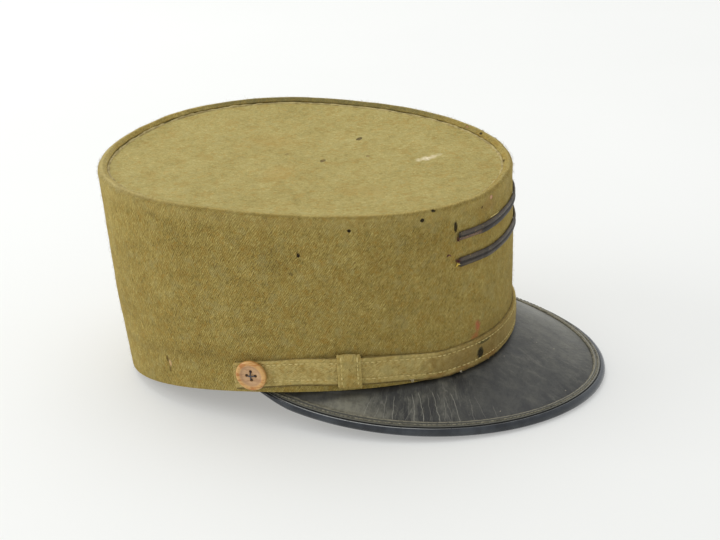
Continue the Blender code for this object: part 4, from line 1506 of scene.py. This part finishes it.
def button_mesh(name):
    """A drilled button about its own axis, with a map that measures across its face."""
    work = bmesh.new()
    line = []
    for inset, height in BUTTON_SECTION:
        across = max(0.0, BUTTON_DIAMETER / 2 - inset * BUTTON_RING)
        line.append(work.verts.new((across, 0, (height - 0.5) * BUTTON_THICKNESS)))
    edges = [work.edges.new(pair) for pair in zip(line, line[1:])]
    bmesh.ops.spin(
        work,
        geom=line + edges,
        cent=(0, 0, 0),
        axis=(0, 0, 1),
        angle=FULL_TURN,
        steps=96,
        use_merge=True,
    )
    bmesh.ops.remove_doubles(work, verts=work.verts, dist=0.00001)
    bmesh.ops.recalc_face_normals(work, faces=work.faces)
    whole = bpy.data.meshes.new(name)
    work.to_mesh(whole)
    work.free()
    work = bmesh.new()
    for quarter in range(4):
        hole = bmesh.ops.create_cone(
            work,
            cap_ends=True,
            segments=24,
            radius1=BUTTON_HOLE / 2,
            radius2=BUTTON_HOLE / 2,
            depth=3 * BUTTON_THICKNESS,
        )
        angle = quarter * math.pi / 2
        aside = Vector((math.cos(angle), math.sin(angle), 0)) * BUTTON_HOLE_CIRCLE / 2
        bmesh.ops.translate(work, verts=hole["verts"], vec=aside)
    drills = bpy.data.meshes.new(name + "_drills")
    work.to_mesh(drills)
    work.free()
    blank = bpy.data.objects.new(name + "_blank", whole)
    drill = bpy.data.objects.new(name + "_drill", drills)
    for thing in (blank, drill):
        bpy.context.scene.collection.objects.link(thing)
    cut = blank.modifiers.new("Holes", "BOOLEAN")
    cut.operation = "DIFFERENCE"
    cut.object = drill
    seen = blank.evaluated_get(bpy.context.evaluated_depsgraph_get())
    mesh = bpy.data.meshes.new_from_object(seen)
    for thing in (blank, drill):
        bpy.data.objects.remove(thing)
    chart = mesh.uv_layers.new(name="UVMap")
    for loop in mesh.loops:
        spot = mesh.vertices[loop.vertex_index].co
        chart.data[loop.index].uv = (spot.x, spot.y)
    return mesh


def make_button(side, name, node, nut, thread):
    """A button with its crossed threads, set on the strap."""
    matrix = button_matrix(side)
    mesh = button_mesh(name)
    mesh.transform(matrix)
    piece = dress(name, mesh, nut, "button_nut", [node])
    piece.data.set_sharp_from_angle(angle=math.radians(35))
    reach = BUTTON_HOLE_CIRCLE / 2
    face = (BUTTON_SECTION[0][1] - 0.5) * BUTTON_THICKNESS
    paths = []
    for angle, order in ((0, 0), (math.pi / 2, 1)):
        for shift in (-0.00020, 0.00020):
            path = []
            for share in spread(-1, 1, 12):
                lift = 0.0010 * (1 - abs(share) ** 3) + order * 0.0003 * math.exp(-(share / 0.3) ** 2)
                down = -0.0022 if abs(share) == 1 else 0.0
                across = shift * (1 - 0.4 * abs(share))
                spot = Vector((share * reach * 1.02, across, face + lift * 0.6 + down + 0.0001))
                path.append(matrix @ (Matrix.Rotation(angle, 4, "Z") @ spot))
            paths.append(path)
    dress(name + "_thread", strands(name + "_thread", paths, 0.00017, 2), thread, "button_nut")


nut = nut_finish()
slate_thread = thread_finish("slate_thread", tint(54, 52, 54), tint(104, 100, 102))
make_button(1, "nut_button_right", "button_right", nut, slate_thread)
make_button(-1, "nut_button_left", "button_left", nut, slate_thread)

# %% [markdown]
# The rank braid is a flat cord of tarnished metal thread with a groove down its middle, so it
# looks like two cords side by side. The thread is plaited over each half in small chevrons, which
# are modelled: the grid is fine enough along the cord to carry them.

# %% Braid
BRAID_REACH = math.radians(28)
BRAID_CORD = 0.0026
BRAID_PITCH = 0.0024
BRAID_PROUD = 0.0015
BRAID_UPPER_DROP = 0.0168
BRAID_LOWER_DROP = 0.0303
BRAID_COLUMNS = 620
PLAIT_PITCH = 0.00115


WORN_START = 0.80
WORN_CHART = 0.5
CORD_CHART = 0.02


def second_cord(across):
    """1 on the lower cord of a braid and 0 on the upper one, from the piece's own map."""
    return across.ease(CORD_CHART * 0.4, CORD_CHART * 0.41)


def braid_finish():
    finish = Finish("braid_thread", Metallic=0.25, Specular_IOR_Level=0.5)
    place = finish.place()
    along, across = finish.sheet()
    tone = finish.cloud(place, 0.006, 3.0, 0.6)
    fine = finish.cloud(place, 0.0005, 3.0, 0.6)
    mottle = tone.ease(0.35, 0.7) * 0.6 + fine.ease(0.45, 0.75) * 0.4
    base = finish.mix(tint(58, 50, 40), tint(100, 90, 74), mottle)
    base = finish.mix(base, tint(126, 118, 100), fine.ease(0.62, 0.75) * 0.4)
    violet = finish.cloud(place, 0.012, 2.0).ease(0.52, 0.7)
    base = finish.mix(base, tint(70, 54, 52), violet * 0.45)
    gilt = finish.cloud(place, 0.0013, 2.0).ease(0.68, 0.74)
    base = finish.mix(base, tint(190, 160, 90), gilt * 0.6)
    cord = across - second_cord(across) * CORD_CHART
    shade = (1 - cord.ease(-0.0004, 0.0007)) * (1 - second_cord(across)) + cord.ease(0.0030, 0.0042) * 0.9
    base = finish.mix(base, tint(34, 28, 24), shade * 0.85)
    bare = across.ease(WORN_CHART, WORN_CHART + 0.0004)
    base = finish.mix(base, tint(150, 118, 92), bare * along.ease(0.0, 0.004) * fine.ease(0.35, 0.6) * 0.8)
    finish.give(Base_Color=base, Roughness=0.5 + (fine - 0.5) * 0.3)
    finish.relief(fine, 0.00012)
    return finish.material


def braid_rows():
    """Section of both cords on their flat back, as offsets down the wall and stand-offs."""
    cord = BRAID_CORD / 2
    middle = BRAID_PITCH / 2
    groove = math.acos(middle / cord)
    under = math.radians(20)
    rows = []
    for centre, start, stop in ((-middle, math.pi + under, groove), (middle, math.pi - groove, -under)):
        for angle in spread(start, stop, 13):
            rows.append((centre, angle))
    return rows


def make_braid(name, drop, node, finish, worn):
    """One row of braid: two plaited cords that touch."""
    def spot(share, row):
        turn = HALF_TURN + BRAID_REACH * (2 * share - 1)
        centre, angle = row
        way = way_at(turn)
        plait = abs(math.sin(math.pi * way / PLAIT_PITCH + 1.6 * abs(angle - math.pi / 2)))
        size = 1 - 0.09 * (1 - plait) + 0.04 * noise.noise(Vector((way / 0.004, centre * 900, drop * 900)))
        if worn and centre > 0:
            size *= 1 - 0.42 * smooth((share - WORN_START) / 0.08)
        end = min(share, 1 - share)
        size *= 0.55 + 0.45 * smooth(end / 0.012)
        across = centre + BRAID_CORD / 2 * size * math.cos(angle)
        across += 0.0003 * noise.noise(Vector((way / 0.012, 7.0, drop * 900)))
        out = CLEARANCE + BRAID_PROUD / 2 * (1 + size * math.sin(angle)) - 0.0004
        return below_rim_point(turn, drop + across, out + on_cloth(turn, drop + across))

    def chart(share, row, index):
        way = way_at(HALF_TURN + BRAID_REACH * (2 * share - 1))
        way -= way_at(HALF_TURN + BRAID_REACH * (2 * WORN_START - 1))
        lower = row[0] > 0
        moved = (CORD_CHART if lower else 0) + (WORN_CHART if worn and lower else 0)
        return way, row[0] + row[1] * 0.0013 + moved

    mesh = wrap(name, BRAID_COLUMNS, braid_rows(), spot, chart, closed=True)
    dress(name, mesh, finish, "braid_metal_thread", [node])


braid_thread = braid_finish()
make_braid("braid_cords_upper", BRAID_UPPER_DROP, "braid_upper", braid_thread, True)
make_braid("braid_cords_lower", BRAID_LOWER_DROP, "braid_lower", braid_thread, False)

# %% [markdown]
# Wear shows in a few loose ends: a pale thread by the upper braid, a knot and a glint of gilt at
# the end of the lower one, and frayed wool along the lower edge of the strap. Each is a handful
# of short curved strands.

# %% Loose ends
def bunch(name, spot, count, reach, radius, finish, slot, seed, sides=0):
    """Short curled strands that start round one point: spot takes sideways, up and out offsets."""
    random.seed(seed)
    paths = []
    for _ in range(count):
        path = []
        side = random.uniform(-0.4, 0.4) * reach
        rise = random.uniform(-0.3, 0.3) * reach
        bend_side = random.uniform(-1, 1) * reach
        bend_rise = random.uniform(-1, 1) * reach
        out = random.uniform(0.2, 1.0) * reach
        for share in spread(0, 1, 4):
            lift = out * math.sin(math.pi * (0.1 + 0.75 * share))
            place = spot(side + bend_side * share, rise + bend_rise * share * share, lift)
            path.append((place, 1 - 0.6 * share))
        paths.append(path)
    dress(name, strands(name, paths, radius, sides), finish, slot)


def by_rim(degrees, down):
    """A place below the rim for loose ends, as a function of small offsets."""
    def spot(side, rise, out):
        turn = turn_at(way_at(math.radians(degrees)) + side)
        return below_rim_point(turn, down - rise, out + on_cloth(turn, down - rise))
    return spot


def by_strap(degrees, up, stand=STRAP_THICKNESS):
    """A place on the strap for loose ends, as a function of small offsets."""
    def spot(side, rise, out):
        turn = turn_at(way_at(math.radians(degrees)) + side)
        return strap_spot(turn, up + rise, stand + out)
    return spot


gilt_thread = thread_finish("gilt_thread", tint(226, 192, 70), tint(250, 236, 150))
plum_thread = thread_finish("plum_thread", tint(78, 48, 46), tint(118, 70, 64))
rust_wool = thread_finish("rust_wool", tint(134, 102, 54), tint(176, 146, 88))
pale_wool = thread_finish("pale_wool", tint(196, 184, 150), tint(226, 214, 188))
bunch("braid_knot", by_rim(208.6, 29.5 * MM), 16, 0.0016, 0.00022, plum_thread, "braid_metal_thread", 11, 1)
bunch("braid_glint", by_rim(208.5, 31.2 * MM), 14, 0.0012, 0.00026, gilt_thread, "braid_metal_thread", 12, 1)
bunch("braid_end", by_rim(208.4, 18.2 * MM), 9, 0.0018, 0.00016, plum_thread, "braid_metal_thread", 13)
dark_arc = [
    (by_rim(211.2 + 1.5 * share, (25.9 - 0.8 * math.sin(math.pi * share)) * MM)(0, 0, 0.0002), 1.0)
    for share in spread(0, 1, 8)
]
loose_arc = [
    (by_rim(191.9 - 4.9 * share, (13.6 - 0.6 * share - 1.4 * math.sin(math.pi * share)) * MM)(
        0, 0, 0.0003 + 0.0022 * math.sin(math.pi * share)), 1 - 0.4 * share)
    for share in spread(0, 1, 12)
]
dress("dark_stitch", strands("dark_stitch", [dark_arc], 0.00028, 1), plum_thread, "wall_wool")
dress("loose_thread", strands("loose_thread", [loose_arc], 0.00022, 1), straw_thread, "wall_wool")

# Frayed places along the lower edge of the strap.
# Columns: turn in degrees, height on the strap in mm, strands, reach in mm, seed
FRAYS = (
    (192.5, 0.6, 13, 1.5, 21),
    (195.5, 0.5, 12, 1.4, 22),
    (204.0, 0.4, 12, 1.3, 23),
    (206.5, 0.4, 12, 1.2, 24),
    (213.0, 0.4, 10, 1.1, 25),
    (222.0, 0.3, 10, 1.0, 26),
)
for degrees, up, count, reach, seed in FRAYS:
    spot = by_strap(degrees, up * MM, STRAP_THICKNESS * 0.6)
    bunch("strap_fray_%d" % seed, spot, count, reach * MM, 0.00011, rust_wool, "strap_wool", seed)
tuft_spot = by_strap(226.5, -0.4 * MM, STRAP_THICKNESS * 0.5)
bit_spot = by_strap(208.8, -0.2 * MM, STRAP_THICKNESS * 0.5)
bunch("pale_tuft", tuft_spot, 14, 0.0013, 0.00017, pale_wool, "strap_wool", 31, 1)
bunch("pale_bit", bit_spot, 9, 0.0010, 0.00015, pale_wool, "strap_wool", 32)

# %% [markdown]
# Felted wool has a nap: thousands of fibre ends that stand a little off the cloth and soften its
# outline. They are far too thin to see one by one, so each is a curve with two short lengths,
# scattered with a fixed seed.

# %% Nap
def nap(name, count, spot_at, reach, finish, slot, seed):
    """Fibres that stand off a cloth: spot_at takes two random shares and an out offset, and slides."""
    random.seed(seed)
    paths = []
    for _ in range(count):
        first = random.random()
        second = random.random()
        lean = random.uniform(0, FULL_TURN)
        length = reach * random.uniform(0.4, 1.3)
        side = math.cos(lean) * length
        rise = math.sin(lean) * length
        out = length * random.uniform(0.15, 0.65)
        path = [
            (spot_at(first, second, 0, 0, -0.0001), 1.0),
            (spot_at(first, second, side * 0.45, rise * 0.45, out), 0.8),
            (spot_at(first, second, side, rise, out * random.uniform(0.5, 1.6)), 0.4),
        ]
        if min(spot.z for spot, thick in path) > FIBRE:
            paths.append(path)
    dress(name, strands(name, paths, FIBRE), finish, slot)


FIBRE = 0.000026


def nap_on_wall(first, second, side, rise, out):
    turn = turn_at(HEM_WAYS[-1] * (0.0001 + 0.9998 * first)) + side / 0.09
    height = 0.01 + 0.985 * second + rise / WALL_CHART_HEIGHT
    return crown_point(turn, height, -wall_swell(turn, height * WALL_CHART_HEIGHT) - out)


def nap_on_rim(first, second, side, rise, out):
    turn = turn_at(HEM_WAYS[-1] * (0.0001 + 0.9998 * first)) + side / 0.09
    angle = RIM_ROLL_SWEEP * second + rise / RIM_ROLL
    radius = RIM_ROLL + out
    return crown_point(turn, 1, RIM_ROLL - radius * math.cos(angle), RIM_ROLL - radius * math.sin(angle))


def nap_on_top(first, second, side, rise, out):
    spot = top_spot(first, 0.985 * second ** 0.5)
    return spot + Vector((side, rise, out * 0.8))


def nap_on_strap(first, second, side, rise, out):
    turn = HALF_TURN - STRAP_END + 2 * STRAP_END * first + side / 0.09
    up = STRAP_WIDTH * (0.04 + 0.92 * second)
    return strap_spot(turn, up + rise, STRAP_THICKNESS + strap_relief(turn, up) + out * 0.8)


fibre_wool = thread_finish("fibre_wool", tint(140, 124, 70), tint(186, 170, 116))
nap("wall_nap", 6500, nap_on_wall, 0.0016, fibre_wool, "wall_wool", 41)
nap("rim_nap", 2200, nap_on_rim, 0.0012, fibre_wool, "wall_wool", 42)
nap("top_nap", 4200, nap_on_top, 0.0016, fibre_wool, "top_wool", 43)
nap("strap_nap", 1800, nap_on_strap, 0.0012, fibre_wool, "strap_wool", 44)

# %% [markdown]
# The cap stands on a plain pale floor under a broad soft light, as in a small studio. The floor is
# a white sheet that glows a little, as if lit from below, which keeps the shadows faint. A wide lamp
# overhead and behind brightens the far floor, two at the rear shape the wall, and the sky fills the rest.

# %% Floor and light
FLOOR_SIZE = 14.0
floor_mesh = bpy.data.meshes.new("floor")
work = bmesh.new()
bmesh.ops.create_grid(work, x_segments=1, y_segments=1, size=FLOOR_SIZE / 2)
work.to_mesh(floor_mesh)
work.free()
# The floor's emission is a painted glow that stands in for light from below.
floor_finish = Finish("floor_sheet", Roughness=0.75, Specular_IOR_Level=0.2, Emission_Strength=0.32)
floor_tone = floor_finish.cloud(floor_finish.place(), 0.25, 3.0)
floor_finish.give(Base_Color=floor_finish.mix(tint(189, 190, 187), tint(194, 195, 192), floor_tone))
floor_finish.give(Emission_Color=(1.0, 1.0, 0.985, 1))
floor_mesh.materials.append(floor_finish.material)
floor = bpy.data.objects.new("floor", floor_mesh)
bpy.context.scene.collection.objects.link(floor)


def lamp(name, spot, target, size, power):
    """A square soft lamp that looks at a point."""
    light = bpy.data.lights.new(name, "AREA")
    light.shape = "SQUARE"
    light.size = size
    light.energy = power
    holder = bpy.data.objects.new(name, light)
    holder.location = spot
    holder.rotation_mode = "QUATERNION"
    holder.rotation_quaternion = (Vector(target) - Vector(spot)).to_track_quat("-Z", "Y")
    bpy.context.scene.collection.objects.link(holder)


lamp("lamp_above", (0.45, 0.35, 1.6), (0, 0, 0.05), 1.8, 13)
lamp("lamp_side", (-0.7, 1.6, 1.0), (0, 0, 0.05), 1.2, 13)
lamp("lamp_rear", (0.9, 1.3, 0.5), (0, 0, 0.05), 0.8, 3)
sky = bpy.data.worlds.new("sky")
sky.use_nodes = True
sky.node_tree.nodes["Background"].inputs["Color"].default_value = (0.97, 0.98, 1.0, 1)
sky.node_tree.nodes["Background"].inputs["Strength"].default_value = 0.70
bpy.context.scene.world = sky
bpy.context.scene.view_settings.view_transform = "Standard"
